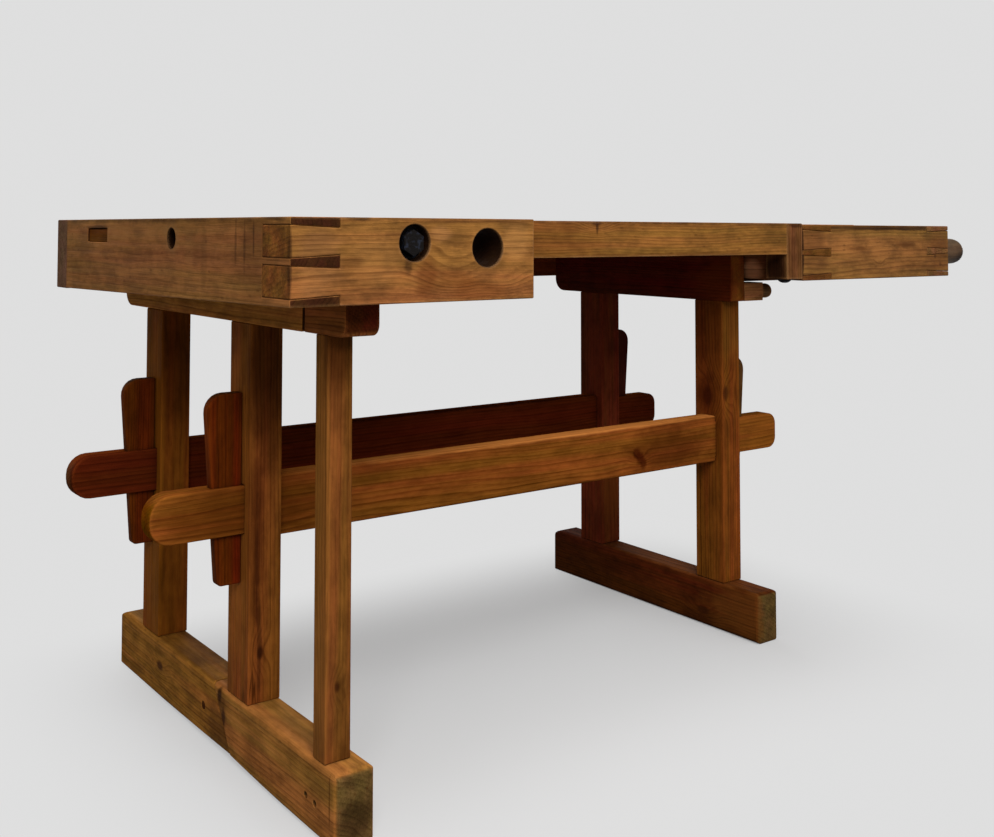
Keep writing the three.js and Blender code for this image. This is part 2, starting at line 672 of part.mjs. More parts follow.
add('vise_lid', box(jawEnd, endStart, boardBack, viseBack, viseTop - LID_T, viseTop), wood('vise'));

add('vise_runner', box(
  viseX0 + RUNNER_INSET, viseX1 - RUNNER_INSET, runnerY0, viseBack, viseBottom, viseBottom + RUNNER_H)
  .add(box(
    viseX0 + RUNNER_INSET, viseX1 - RUNNER_INSET, viseBack - CUT, runnerTongueEnd,
    runnerTongueZ, runnerTongueZ + RUNNER_TONGUE_T)), wood('base'));

// Tail vise screw: threaded shank, grooved neck and a turned hub with a hole for a bar

function thread(x0, turns) {
  const rings = turns * THREAD_STEPS + 1;
  const points = [];
  const faces = [];
  for (let ring = 0; ring < rings; ring += 1) {
    for (let side = 0; side < THREAD_SIDES; side += 1) {
      const phase = ring / THREAD_STEPS - side / THREAD_SIDES;
      const ridge = Math.abs(2 * (phase - Math.floor(phase)) - 1);
      const radius = SCREW_R - THREAD_DEPTH * (1 - ridge);
      const turn = (2 * Math.PI * side) / THREAD_SIDES;
      const x = x0 + (THREAD_PITCH * ring) / THREAD_STEPS;
      points.push(x, screwY + radius * Math.cos(turn), screwZ + radius * Math.sin(turn));
    }
  }
  const corner = (ring, side) => ring * THREAD_SIDES + (side % THREAD_SIDES);
  for (let ring = 0; ring + 1 < rings; ring += 1) {
    for (let side = 0; side < THREAD_SIDES; side += 1) {
      faces.push(corner(ring, side), corner(ring, side + 1), corner(ring + 1, side));
      faces.push(corner(ring, side + 1), corner(ring + 1, side + 1), corner(ring + 1, side));
    }
  }
  const first = points.length / 3;
  points.push(x0, screwY, screwZ, x0 + THREAD_PITCH * turns, screwY, screwZ);
  for (let side = 0; side < THREAD_SIDES; side += 1) {
    faces.push(first, corner(0, side + 1), corner(0, side));
    faces.push(first + 1, corner(rings - 1, side), corner(rings - 1, side + 1));
  }
  const geometry = new THREE.BufferGeometry();
  geometry.setAttribute('position', new THREE.Float32BufferAttribute(points, 3));
  geometry.setIndex(faces);
  return toSolid(geometry);
}

const hubStart = viseX1 + RUN;

add('tail_screw', turnedX([
  [0, endStart - CUT],
  [SCREW_R, endStart - CUT],
  [SCREW_R, garterX0 - RUN],
  [NECK_GROOVE_R, garterX0 - RUN],
  [NECK_GROOVE_R, garterX1 + RUN],
  [SCREW_R, garterX1 + RUN],
  [SCREW_R, hubStart],
  [HUB_COLLAR_R, hubStart],
  [HUB_COLLAR_R, hubStart + HUB_COLLAR_L],
  [HUB_R, hubStart + HUB_COLLAR_L],
  ...dome(HUB_R, hubEnd - HUB_DOME_L, HUB_DOME_L),
], screwY, screwZ)
  .add(thread(endStart - THREAD_TURNS * THREAD_PITCH, THREAD_TURNS))
  .subtract(rodZ(
    hubEnd - TOMMY_IN, screwY, TOMMY_R, screwZ - HUB_COLLAR_R, screwZ + HUB_COLLAR_R)), wood('vise'));

// Feet: the left one is scarfed from two pieces, the right one is whole

const postTenon = (x, y, z0, z1, grow = 0) => box(
  x - POST_TENON_X / 2 - grow, x + POST_TENON_X / 2 + grow,
  y - POST_TENON_Y / 2 - grow, y + POST_TENON_Y / 2 + grow, z0, z1);

const frontPostX = LEFT_X + FRONT_POST_X / 2;
const frontPostY = FRONT_POST_Y0 + FRONT_POST_Y / 2;
const frontTenon = (z0, z1, grow = 0) => box(
  frontPostX - FRONT_TENON_X / 2 - grow, frontPostX + FRONT_TENON_X / 2 + grow,
  frontPostY - FRONT_TENON_Y / 2 - grow, frontPostY + FRONT_TENON_Y / 2 + grow, z0, z1);

const footMortise = (x, y, height) => postTenon(x, y, height - POST_TENON_L - FIT, height + CUT, FIT);

// Block as tall as a foot, with its long and upright edges rounded
const wornBlock = (x0, x1, y0, y1, height) => prismY([
  [x0, 0, FOOT_EDGE],
  [x1, 0, FOOT_EDGE],
  [x1, height, FOOT_EDGE],
  [x0, height, FOOT_EDGE],
], y0, y1).intersect(prismZ([
  [x0, y0, FOOT_EDGE],
  [x1, y0, FOOT_EDGE],
  [x1, y1, FOOT_EDGE],
  [x0, y1, FOOT_EDGE],
], 0, height));

const leftFootX0 = leftMiddleX - LEFT_FOOT_X / 2;
const leftFootX1 = leftMiddleX + LEFT_FOOT_X / 2;
const scarfTop = SCARF_Y + SCARF_RUN;
const scarfLow = SCARF_Y + SCARF_RUN * (FOOT_ARCH / LEFT_FOOT_H);
const scarfTongueEnd = scarfTop + SCARF_TONGUE_L;
const scarfPegY = scarfTop + SCARF_TONGUE_L / 2;
const scarfZ = LEFT_FOOT_H / 2;
const scarfTongue = (y0, grow = 0) => box(
  leftMiddleX - SCARF_TONGUE_X / 2 - grow, leftMiddleX + SCARF_TONGUE_X / 2 + grow,
  y0, scarfTongueEnd + grow, scarfZ - SCARF_TONGUE_Z / 2 - grow, scarfZ + SCARF_TONGUE_Z / 2 + grow);
const scarfPeg = (grow = 0) => rodX(
  scarfPegY, scarfZ, SCARF_PEG_R + grow, leftFootX0 - past(grow), leftFootX1 + past(grow), PEG_SIDES);

add('left_foot_rear', prismX([
  [scarfLow + SCARF_GAP, FOOT_ARCH],
  [LEFT_FOOT_Y1 - FOOT_PAD, 0],
  [LEFT_FOOT_Y1, 0],
  [LEFT_FOOT_Y1, LEFT_FOOT_H, FOOT_ROUND],
  [scarfTop + SCARF_GAP, LEFT_FOOT_H],
], leftFootX0, leftFootX1)
  .intersect(wornBlock(leftFootX0, leftFootX1, LEFT_FOOT_Y0, LEFT_FOOT_Y1, LEFT_FOOT_H))
  .subtract(scarfTongue(SCARF_Y, FIT))
  .subtract(scarfPeg(FIT))
  .subtract(footMortise(leftMiddleX, farY, LEFT_FOOT_H)), wood('foot'));

const leftFrontX0 = leftMiddleX - LEFT_FOOT_FRONT_X / 2;
const leftFrontX1 = leftMiddleX + LEFT_FOOT_FRONT_X / 2;

let footFront = prismX([
  [LEFT_FOOT_Y0, 0],
  [LEFT_FOOT_Y0 + FOOT_PAD, 0],
  [scarfLow, FOOT_ARCH],
  [scarfTop, LEFT_FOOT_H],
  [LEFT_FOOT_Y0, LEFT_FOOT_H, FOOT_ROUND / 2],
], leftFrontX0, leftFrontX1)
  .intersect(wornBlock(leftFrontX0, leftFrontX1, LEFT_FOOT_Y0, LEFT_FOOT_Y1, LEFT_FOOT_H))
  .add(scarfTongue(SCARF_Y))
  .subtract(scarfPeg(FIT))
  .subtract(footMortise(leftMiddleX, nearY, LEFT_FOOT_H))
  .subtract(frontTenon(LEFT_FOOT_H - FRONT_TENON_L - FIT, LEFT_FOOT_H + CUT, FIT));
for (const [y, z] of NAIL_HOLES) {
  footFront = footFront.subtract(
    rodX(y, z, NAIL_HOLE_R, leftFrontX0 - CUT, leftFrontX0 + NAIL_HOLE_IN, NAIL_HOLE_SIDES));
}
add('left_foot_front', footFront, wood('foot'));

add('foot_scarf_peg', scarfPeg(), wood('base'));

const rightPostX = rightX + POST_X / 2;
const rightFootX0 = rightPostX - RIGHT_FOOT_X / 2;
const rightFootX1 = rightPostX + RIGHT_FOOT_X / 2;

add('right_foot', prismX([
  [RIGHT_FOOT_Y0, 0],
  [RIGHT_FOOT_Y1, 0],
  [RIGHT_FOOT_Y1, RIGHT_FOOT_H, FOOT_ROUND],
  [RIGHT_FOOT_Y0, RIGHT_FOOT_H, FOOT_ROUND / 2],
], rightFootX0, rightFootX1)
  .intersect(wornBlock(rightFootX0, rightFootX1, RIGHT_FOOT_Y0, RIGHT_FOOT_Y1, RIGHT_FOOT_H))
  .subtract(footMortise(rightPostX, nearY, RIGHT_FOOT_H))
  .subtract(footMortise(rightPostX, farY, RIGHT_FOOT_H)), wood('foot'));

// Posts, tenoned into foot and beam, with a through mortise for the stretcher

const tenonZ0 = STRETCHER_Z - TENON_H / 2;
const tenonZ1 = STRETCHER_Z + TENON_H / 2;

function post(name, x0, tenonX, y, footHeight) {
  const x1 = x0 + POST_X;
  const bottom = postTenon(x0 + POST_X / 2, y, footHeight - POST_TENON_L, footHeight + CUT);
  const top = postTenon(tenonX, y, beamZ - CUT, beamZ + POST_TENON_L);
  add(name, box(x0, x1, y - POST_Y / 2, y + POST_Y / 2, footHeight, beamZ)
    .add(bottom)
    .add(top)
    .subtract(box(
      x0 - CUT, x1 + CUT, y - STRETCHER_Y / 2 - FIT, y + STRETCHER_Y / 2 + FIT,
      tenonZ0 - FIT, tenonZ1 + FIT)), wood('base'));
}

post('left_middle_post', LEFT_X, leftMiddleX, nearY, LEFT_FOOT_H);
post('left_back_post', LEFT_X, leftMiddleX, farY, LEFT_FOOT_H);
post('right_front_post', rightX, rightMiddleX, nearY, RIGHT_FOOT_H);
post('right_back_post', rightX, rightMiddleX, farY, RIGHT_FOOT_H);

add('left_front_post', box(
  LEFT_X, LEFT_X + FRONT_POST_X, FRONT_POST_Y0, FRONT_POST_Y0 + FRONT_POST_Y, LEFT_FOOT_H, beamZ)
  .add(frontTenon(LEFT_FOOT_H - FRONT_TENON_L, LEFT_FOOT_H + CUT))
  .add(frontTenon(beamZ - CUT, beamZ + FRONT_TENON_L)), wood('base'));

// Beams under the planks, the bearer under the arm and the pegs that place the top

const beamMortise = (x, y) => postTenon(x, y, beamZ - CUT, beamZ + POST_TENON_L + FIT, FIT);
const bearerZ = (beamZ + armBottom) / 2;
const bearerTenon = (y0, grow = 0) => box(
  leftMiddleX - BEARER_TENON_X / 2 - grow, leftMiddleX + BEARER_TENON_X / 2 + grow,
  y0, LEFT_BEAM_Y0 + BEARER_TENON_L + grow,
  bearerZ - BEARER_TENON_Z / 2 - grow, bearerZ + BEARER_TENON_Z / 2 + grow);

add('left_beam', prismX([
  [LEFT_BEAM_Y0, beamZ],
  [LEFT_BEAM_Y1, beamZ, BEAM_ROUND],
  [LEFT_BEAM_Y1, slabBottom],
  [LEFT_BEAM_Y0, slabBottom],
], LEFT_X, leftInner)
  .subtract(beamMortise(leftMiddleX, nearY))
  .subtract(beamMortise(leftMiddleX, farY))
  .subtract(bearerTenon(LEFT_BEAM_Y0 - CUT, FIT))
  .subtract(topPeg(leftMiddleX, LEFT_TOP_PEG_Y, FIT)), wood('base'));

add('arm_bearer', prismX([
  [BEARER_Y0, beamZ, BEARER_ROUND],
  [SLAB_FRONT, beamZ],
  [SLAB_FRONT, armBottom],
  [BEARER_Y0, armBottom],
], LEFT_X, leftInner)
  .add(bearerTenon(SLAB_FRONT - CUT))
  .subtract(frontTenon(beamZ - CUT, beamZ + FRONT_TENON_L + FIT, FIT)), wood('base'));

const rightBeamX1 = rightX + RIGHT_BEAM_X;

add('right_beam', prismX([
  [rightBeamY0, beamZ],
  [RIGHT_BEAM_Y1, beamZ, BEAM_ROUND],
  [RIGHT_BEAM_Y1, slabBottom],
  [rightBeamY0, slabBottom],
], rightX, rightBeamX1)
  .subtract(beamMortise(rightMiddleX, nearY))
  .subtract(beamMortise(rightMiddleX, farY))
  .subtract(rodX(
    beamPegY, beamPegZ, BEAM_PEG_R + FIT, rightBeamX1 - BEAM_PEG_IN - FIT, rightBeamX1 + CUT))
  .subtract(topPeg(rightMiddleX, RIGHT_TOP_PEG_Y, FIT)), wood('base'));

// A pin with a square shoulder against the beam and a turned nose
const beamPegX = rightBeamX1 + BEAM_PEG_BLOCK_X;

add('beam_peg', box(
  rightBeamX1, beamPegX, rightBeamY0, 2 * beamPegY - rightBeamY0, beamZ, beamPegTop)
  .add(rodX(beamPegY, beamPegZ, BEAM_PEG_R, rightBeamX1 - BEAM_PEG_IN, rightBeamX1 + CUT))
  .add(turnedX([
    [0, beamPegX - CUT],
    [BEAM_PEG_NOSE_R, beamPegX - CUT],
    ...dome(BEAM_PEG_NOSE_R, beamPegX + BEAM_PEG_NOSE_L - BEAM_PEG_DOME, BEAM_PEG_DOME),
  ], beamPegY, beamPegZ)), wood('base'));

add('left_top_peg', topPeg(leftMiddleX, LEFT_TOP_PEG_Y), wood('base'));
add('right_top_peg', topPeg(rightMiddleX, RIGHT_TOP_PEG_Y), wood('base'));

// Stretchers and the tusk wedges that draw their shoulders against the posts

// face: outer face of the post; side: -1 where the wedge stands at its left, 1 at its right
const wedge = (face, side, y, top, slim) => prismY([
  [face, top - WEDGE_L],
  [face + side * (WEDGE_TIP_W - slim), top - WEDGE_L, WEDGE_TIP_ROUND],
  [face + side * (WEDGE_TOP_W - slim), top, WEDGE_ROUND],
  [face, top],
], y - WEDGE_T / 2, y + WEDGE_T / 2);

const wedgeSlot = (face, side, y, top, slim) => {
  const z0 = tenonZ0 - CUT;
  const z1 = tenonZ1 + CUT;
  const taper = (WEDGE_TOP_W - WEDGE_TIP_W) / WEDGE_L;
  const back = (z) => face + side * (WEDGE_TOP_W - slim - taper * (top - z) + FIT);
  return prismY([
    [face - side * WEDGE_ROOM, z0],
    [back(z0), z0],
    [back(z1), z1],
    [face - side * WEDGE_ROOM, z1],
  ], y - WEDGE_T / 2 - FIT, y + WEDGE_T / 2 + FIT);
};

function stretcher(name, y, leftWedgeUp, rightWedgeUp, rightSlim = 0) {
  const leftWedgeTop = STRETCHER_Z + leftWedgeUp;
  const rightWedgeTop = STRETCHER_Z + rightWedgeUp;
  const z0 = STRETCHER_Z - STRETCHER_H / 2;
  const z1 = STRETCHER_Z + STRETCHER_H / 2;
  add(`${name}_stretcher`, prismY([
    [stretcherLeft, tenonZ0, TENON_ROUND_LEFT],
    [leftInner, tenonZ0],
    [leftInner, z0],
    [rightX, z0],
    [rightX, tenonZ0],
    [stretcherRight, tenonZ0, TENON_ROUND_RIGHT],
    [stretcherRight, tenonZ1, TENON_ROUND_RIGHT],
    [rightX, tenonZ1],
    [rightX, z1],
    [leftInner, z1],
    [leftInner, tenonZ1],
    [stretcherLeft, tenonZ1, TENON_ROUND_LEFT],
  ], y - STRETCHER_Y / 2, y + STRETCHER_Y / 2)
    .subtract(wedgeSlot(LEFT_X, -1, y, leftWedgeTop, 0))
    .subtract(wedgeSlot(rightOuter, 1, y, rightWedgeTop, rightSlim)), wood('base'));
  add(`left_${name}_wedge`, wedge(LEFT_X, -1, y, leftWedgeTop, 0), wood('base'));
  add(`right_${name}_wedge`, wedge(rightOuter, 1, y, rightWedgeTop, rightSlim), wood('base'));
}

stretcher('near', nearY, LEFT_NEAR_WEDGE_UP, RIGHT_NEAR_WEDGE_UP, WEDGE_SLIM);
stretcher('far', farY, LEFT_FAR_WEDGE_UP, RIGHT_FAR_WEDGE_UP);

// Stand the bench over the middle of its footprint
bench.position.set(-(stretcherLeft + hubEnd) / 2, -topBack / 2, 0);

export default bench;
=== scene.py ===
import math

import bpy
from mathutils import Matrix, Vector

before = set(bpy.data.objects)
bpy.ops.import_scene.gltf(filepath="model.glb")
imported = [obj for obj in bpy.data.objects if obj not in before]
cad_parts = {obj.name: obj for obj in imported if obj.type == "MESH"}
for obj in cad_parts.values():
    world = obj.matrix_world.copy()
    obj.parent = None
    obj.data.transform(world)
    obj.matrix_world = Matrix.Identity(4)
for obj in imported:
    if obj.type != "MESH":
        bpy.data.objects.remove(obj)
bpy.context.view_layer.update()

# Places are written in the bench's drawing frame: millimetres, X from the face of the left end cap,
# Y from the front of the vise arm and Z from the floor
MM_PER_M = 1000
DRAWING_SHIFT = (-933.75, -452.5, 0.0)


def at(x, y, z):
    """A place in the drawing frame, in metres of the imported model's frame."""
    return tuple((v + s) / MM_PER_M for v, s in zip((x, y, z), DRAWING_SHIFT))


def metres(sizes):
    return tuple(v / MM_PER_M for v in sizes)


def srgb(r, g, b):
    """A colour in sRGB levels from 0 to 255, as linear RGBA."""
    def linear(c):
        c /= 255
        return c / 12.92 if c <= 0.04045 else ((c + 0.055) / 1.055) ** 2.4
    return (linear(r), linear(g), linear(b), 1.0)


def tint(color, factors):
    return tuple(c * f for c, f in zip(color, factors)) + (1.0,)


# Camera, fitted to the photograph

IMAGE_WIDTH, IMAGE_HEIGHT = 994, 837
SENSOR_MM = 36
FOCAL_PIXELS = 1126.2
AXIS_PIXEL = (399.4, 181.9)  # where the camera's axis meets the image
CAMERA_PLACE = (-669.1, -1214.4, 804.5)
CAMERA_ANGLES = (34.37, 2.428, 0.251)  # yaw from +Y, pitch and roll, in degrees
CAMERA_CLIP = (0.05, 100)


def make_camera():
    yaw, pitch, roll = (math.radians(v) for v in CAMERA_ANGLES)
    forward = Vector((math.sin(yaw) * math.cos(pitch), math.cos(yaw) * math.cos(pitch), math.sin(pitch)))
    level = Vector((math.cos(yaw), -math.sin(yaw), 0))
    upright = level.cross(forward)
    right = level * math.cos(roll) + upright * math.sin(roll)
    up = upright * math.cos(roll) - level * math.sin(roll)
    data = bpy.data.cameras.new("camera")
    data.sensor_width = SENSOR_MM
    data.lens = SENSOR_MM * FOCAL_PIXELS / IMAGE_WIDTH
    data.shift_x = (IMAGE_WIDTH / 2 - AXIS_PIXEL[0]) / IMAGE_WIDTH
    data.shift_y = -(IMAGE_HEIGHT / 2 - AXIS_PIXEL[1]) / IMAGE_WIDTH
    data.clip_start, data.clip_end = CAMERA_CLIP
    camera = bpy.data.objects.new("camera", data)
    turn = Matrix((right, up, -forward)).transposed().to_4x4()
    camera.matrix_world = Matrix.Translation(at(*CAMERA_PLACE)) @ turn
    bpy.context.scene.collection.objects.link(camera)
    bpy.context.scene.camera = camera


make_camera()
bpy.context.scene.view_settings.view_transform = "Standard"


class Graph:
    """A node tree, built from small calls."""

    MIX_INPUTS, MIX_OUTPUT = (0, 6, 7), 2  # the sockets that a Mix node uses for colours

    def __init__(self, tree):
        self.nodes, self.links = tree.nodes, tree.links
        self.nodes.clear()

    def put(self, socket, value):
        if isinstance(value, bpy.types.NodeSocket):
            self.links.new(value, socket)
        else:
            socket.default_value = value

    def add(self, kind, settings=None, **inputs):
        node = self.nodes.new(kind)
        for key, value in (settings or {}).items():
            setattr(node, key, value)
        for key, value in inputs.items():
            self.put(node.inputs[key.replace("_", " ")], value)
        return node

    def math(self, operation, *values):
        node = self.add("ShaderNodeMath", {"operation": operation})
        for socket, value in zip(node.inputs, values):
            self.put(socket, value)
        return node.outputs[0]

    def vector(self, operation, *values):
        node = self.add("ShaderNodeVectorMath", {"operation": operation})
        for socket, value in zip(node.inputs, values):
            self.put(socket, value)
        return node.outputs["Value" if operation in ("LENGTH", "DOT_PRODUCT") else "Vector"]

    def smooth(self, value, low, high, to_low=0.0, to_high=1.0):
        node = self.add("ShaderNodeMapRange", {"interpolation_type": "SMOOTHSTEP"})
        for socket, v in zip(node.inputs, (value, low, high, to_low, to_high)):
            self.put(socket, v)
        return node.outputs[0]

    def noise(self, vector, detail, rough):
        node = self.add("ShaderNodeTexNoise", Vector=vector, Scale=1.0, Detail=detail, Roughness=rough)
        return node.outputs[0]

    def mix(self, factor, a, b):
        node = self.add("ShaderNodeMix", {"data_type": "RGBA"})
        for index, value in zip(self.MIX_INPUTS, (factor, a, b)):
            self.put(node.inputs[index], value)
        return node.outputs[self.MIX_OUTPUT]

    def weighted_sum(self, start, *pairs):
        """A plain number plus each value times its weight."""
        total = start
        for value, weight in pairs:
            total = self.math("MULTIPLY_ADD", value, weight, total)
        return total

    def ramp(self, factor, stops):
        node = self.add("ShaderNodeValToRGB", Fac=factor)
        elements = node.color_ramp.elements
        while len(elements) < len(stops):
            elements.new(0.5)
        for element, (position, value) in zip(elements, stops):
            element.position = position
            element.color = (value, value, value, 1.0)
        return node.outputs[0]

    def seen(self):
        """1 where the camera sees a surface, also in gloss and through glass, and 0 for the light it gives."""
        path = self.add("ShaderNodeLightPath").outputs
        indirect = self.math("MAXIMUM", path["Is Glossy Ray"], path["Is Transmission Ray"])
        return self.math("MAXIMUM", path["Is Camera Ray"], indirect)


def new_material(name):
    material = bpy.data.materials.new(name)
    material.use_nodes = True
    return material, Graph(material.node_tree)


# Wood

GRAIN_ORDER = {"X": (0, 1, 2), "Y": (1, 0, 2), "Z": (2, 0, 1)}  # the axis along the grain, then those across
SEED_STEP = (1.37, 0.71, 2.13)
KNOT_COLOR = srgb(44, 15, 4)
# Near black, for grime and painted shade in corners and joints, and for painted shade inside bores
GRIME_AND_SHADE_COLOR = srgb(22, 8, 3)

# Early and late wood as factors on a colour: in long grain, in end grain and under stains and patches of
# painted light and shade
LIGHT, DARK = (1.52, 1.57, 1.62), (0.42, 0.35, 0.29)
END_LIGHT, END_DARK = (1.4, 1.4, 1.4), (0.55, 0.5, 0.45)
STAIN_AND_LIGHT_EARLY, STAIN_AND_LIGHT_LATE = (1.45, 1.45, 1.45), (0.45, 0.4, 0.35)
# Marks of use as factors: checks and dents on the late wood, rubbed edges on the tone; the rubbed edges are
# pale from wear and also carry a painted highlight
CHECK_DARK, DENT_DARK, RUBBED_AND_LIT = (0.5, 0.45, 0.4), (0.6, 0.5, 0.45), (1.8, 1.85, 1.9)

# Noises: scale along and across the grain, for each metre, then detail and roughness
NOISES = {
    "sway": (1.8, 9, 2, 0.5), "ripple": (11, 45, 2, 0.5),
    "streak": (3.5, 150, 4, 0.6), "broad": (1.3, 32, 3, 0.55), "fibre": (24, 900, 2, 0.5),
    "cloud": (17, 38, 4, 0.64), "patch": (1.7, 5, 3, 0.5), "speck": (60, 420, 3, 0.6),
    "check": (2.2, 60, 2, 0.5), "check_zone": (5, 16, 2, 0.5),
    "stain_and_light_edge": (30, 60, 3, 0.5), "rub_and_highlight": (14, 22, 4, 0.6),
}
NOISE_MEAN = 0.5
NOISE_SPAN, STREAK_SPAN, SPECK_SPAN = (0.3, 0.7), (0.28, 0.72), (0.35, 0.7)

# Growth rings: their ripple in metres, late wood through one year's ring, and how strong a year's ring is
RIPPLE = 0.0035
YEAR = ((0.0, 0.0), (0.4, 0.12), (0.84, 1.0), (0.96, 0.55), (1.0, 0.0))
YEAR_SPREAD, YEAR_LEAST = 0.7, 0.3
# Knots, in knot sizes: how far and how much they bend the rings, and their full core. Along the grain a knot
# is longer, because distances count less there
KNOT_REACH, KNOT_BEND, KNOT_CORE = 3.2, 1.6, 0.4
KNOT_ALONG = 0.55
# Share of late wood: its mean, the rings' own mean, and the weights of streaks and fibres
FIGURE_MEAN, RING_MEAN, STREAK_WEIGHT, FIBRE_WEIGHT = 0.42, 0.3, 0.42, 0.16
HUE_SPREAD, HUE_LEAST = 0.02, 0.49
# End grain: how squarely a face cuts the grain, and the weights of rings, specks and broad streaks
END_SPAN = (0.6, 0.92)
END_WEIGHTS = (0.5, 0.45, 0.15)

# Marks of use, and painted light and shade: a span is where a mark starts and ends to fade
CHECK_SPAN, CHECK_ZONE_SPAN = (0.004, 0.016), (0.5, 0.62)
DENT_GRID, DENT_SPAN, DENT_FRAY = (26, 62, 62), (0.08, 0.2), 0.06
STAIN_AND_LIGHT_SPAN = (0.35, 1.0)
# Bores: the wood inside is painted dark as shade, fading out over a dark rim round the hole
BORE_SPAN, BORE_DARK = (0.2, 2.2), 0.95  # millimetres past the radius
EDGE_SPAN, EDGE_SAMPLES = (0.9, 0.995), 4
# Rubbed edges: pale wear that also paints the highlight where light catches an edge
RUB_AND_HIGHLIGHT_SPAN, RUB_AND_HIGHLIGHT_LEAST, FLUSH_SPAN = (0.38, 0.62), 0.1, (0.98, 1.04)
# Grime: ambient occlusion darkens corners, joints and recesses, painted shade together with grime
GRIME_AND_SHADE_SPAN, GRIME_AND_SHADE_REACH, GRIME_AND_SHADE_SAMPLES = (0.2, 0.75), 0.02, 6

# Surface: weights in the roughness of streaks, fibres, end grain and the grime with painted shade, from a
# little under the piece's own, and in the relief of rings, streaks, fibres and clouds
ROUGH_DROP, ROUGH_WEIGHTS = 0.1, (0.12, 0.06, 0.18, 0.15)
RELIEF, RELIEF_DEPTH, RELIEF_WEIGHTS = 0.4, 0.0014, (0.5, 0.35, 0.3, 0.5)


def wood(name, tone, end, grain, pith, period=0.0045, rings=0.42, streaks=0.55, mottle=0.26, blotches=0.28,
         roughness=0.66, gloss=0.015, seed=0.0, knots=(), stains_and_painted_light=(), bores=(), flush=(), wear_and_highlight=0.35, worn_and_lit=None,
         dents=0.0, cracks=0.2, dirt_and_shade=0.5, sway=0.03, rounding=0.008):
    """Solid wood: growth rings round a pith line along the grain, so that end grain and long grain agree.

    Period is the width of a ring, sway how far the rings wander and rounding how wide edges are rubbed pale
    and given a painted highlight, all in metres. The figure's strengths run from fine to broad: rings,
    streaks, mottle, blotches. The lists of marks are explained at LOOKS.
    """
    material, g = new_material(name)
    tone, end = srgb(*tone), srgb(*end)
    light, dark = tint(tone, LIGHT), tint(tone, DARK)
    place = g.add("ShaderNodeTexCoord").outputs
    point = place["Object"]
    order = GRAIN_ORDER[grain]
    parts = g.add("ShaderNodeSeparateXYZ", Vector=point).outputs
    along, a, b = (parts[i] for i in order)
    grained = g.add("ShaderNodeCombineXYZ", X=along, Y=a, Z=b).outputs[0]
    moved = g.vector("ADD", grained, tuple(seed * step for step in SEED_STEP))

    def noise(kind):
        lengthwise, across, detail, rough = NOISES[kind]
        return g.noise(g.vector("MULTIPLY", moved, (lengthwise, across, across)), detail, rough)

    def gap_to(centre):
        return g.vector("SUBTRACT", point, at(*centre))

    # Growth rings, bent round the knots
    da, db = g.math("SUBTRACT", a, pith[0]), g.math("SUBTRACT", b, pith[1])
    radius = g.math("SQRT", g.math("ADD", g.math("MULTIPLY", da, da), g.math("MULTIPLY", db, db)))
    radius = g.math("MULTIPLY_ADD", noise("sway"), sway, radius)
    radius = g.math("MULTIPLY_ADD", noise("ripple"), RIPPLE, radius)
    knot_mask = None
    stretch = [1.0, 1.0, 1.0]
    stretch[order[0]] = KNOT_ALONG
    for centre, size, depth in knots:
        away = g.vector("LENGTH", g.vector("MULTIPLY", gap_to(centre), tuple(stretch)))
        radius = g.math("ADD", radius, g.smooth(away, 0.0, size * KNOT_REACH, size * KNOT_BEND, 0.0))
        mask = g.smooth(away, size * KNOT_CORE, size, depth, 0.0)
        knot_mask = mask if knot_mask is None else g.math("MAXIMUM", knot_mask, mask)
    turns = g.math("DIVIDE", radius, period)
    year = g.add("ShaderNodeTexWhiteNoise", {"noise_dimensions": "1D"}, W=g.math("FLOOR", turns)).outputs[0]
    ring = g.math(
        "MULTIPLY", g.ramp(g.math("FRACT", turns), YEAR), g.math("MULTIPLY_ADD", year, YEAR_SPREAD, YEAR_LEAST))

    # Streaks, fibres and cloudy patches
    streak = g.smooth(noise("streak"), *STREAK_SPAN)
    broad = g.smooth(noise("broad"), *NOISE_SPAN)
    fibre = g.smooth(noise("fibre"), *NOISE_SPAN)
    cloud = g.smooth(noise("cloud"), *NOISE_SPAN)
    patch = noise("patch")
    late = g.weighted_sum(
        FIGURE_MEAN - rings * RING_MEAN - streaks * STREAK_WEIGHT, (ring, rings),
        (streak, streaks * STREAK_WEIGHT), (broad, streaks * STREAK_WEIGHT), (fibre, FIBRE_WEIGHT))
    figure = g.math("MINIMUM", g.math("MAXIMUM", late, 0.0), 1.0)
    color = g.mix(figure, light, dark)

    # End grain
    normal = g.add("ShaderNodeSeparateXYZ", Vector=place["Normal"]).outputs[order[0]]
    end_face = g.smooth(g.math("ABSOLUTE", normal), *END_SPAN)
    speck = g.smooth(noise("speck"), *SPECK_SPAN)
    end_figure = g.weighted_sum(0.0, *zip((ring, speck, broad), END_WEIGHTS))
    color = g.mix(end_face, color, g.mix(end_figure, tint(end, END_LIGHT), tint(end, END_DARK)))
    value = g.weighted_sum(1 - blotches - mottle, (patch, blotches * 2), (cloud, mottle * 2))
    hue = g.math("MULTIPLY_ADD", broad, HUE_SPREAD, HUE_LEAST)
    color = g.add("ShaderNodeHueSaturation", Value=value, Hue=hue, Color=color).outputs[0]

    # Checks along the grain, and dents of use
    if cracks:
        line = g.math("ABSOLUTE", g.math("SUBTRACT", noise("check"), NOISE_MEAN))
        zone = g.smooth(noise("check_zone"), *CHECK_ZONE_SPAN)
        check = g.math("MULTIPLY", g.smooth(line, *CHECK_SPAN, cracks, 0.0), zone)
        color = g.mix(check, color, tint(dark, CHECK_DARK))
    if dents:
        scattered = g.vector("MULTIPLY", moved, DENT_GRID)
        cell = g.add("ShaderNodeTexVoronoi", Vector=scattered, Scale=1.0).outputs["Distance"]
        dent = g.smooth(g.math("MULTIPLY_ADD", fibre, DENT_FRAY, cell), *DENT_SPAN, dents, 0.0)
        color = g.mix(dent, color, tint(dark, DENT_DARK))
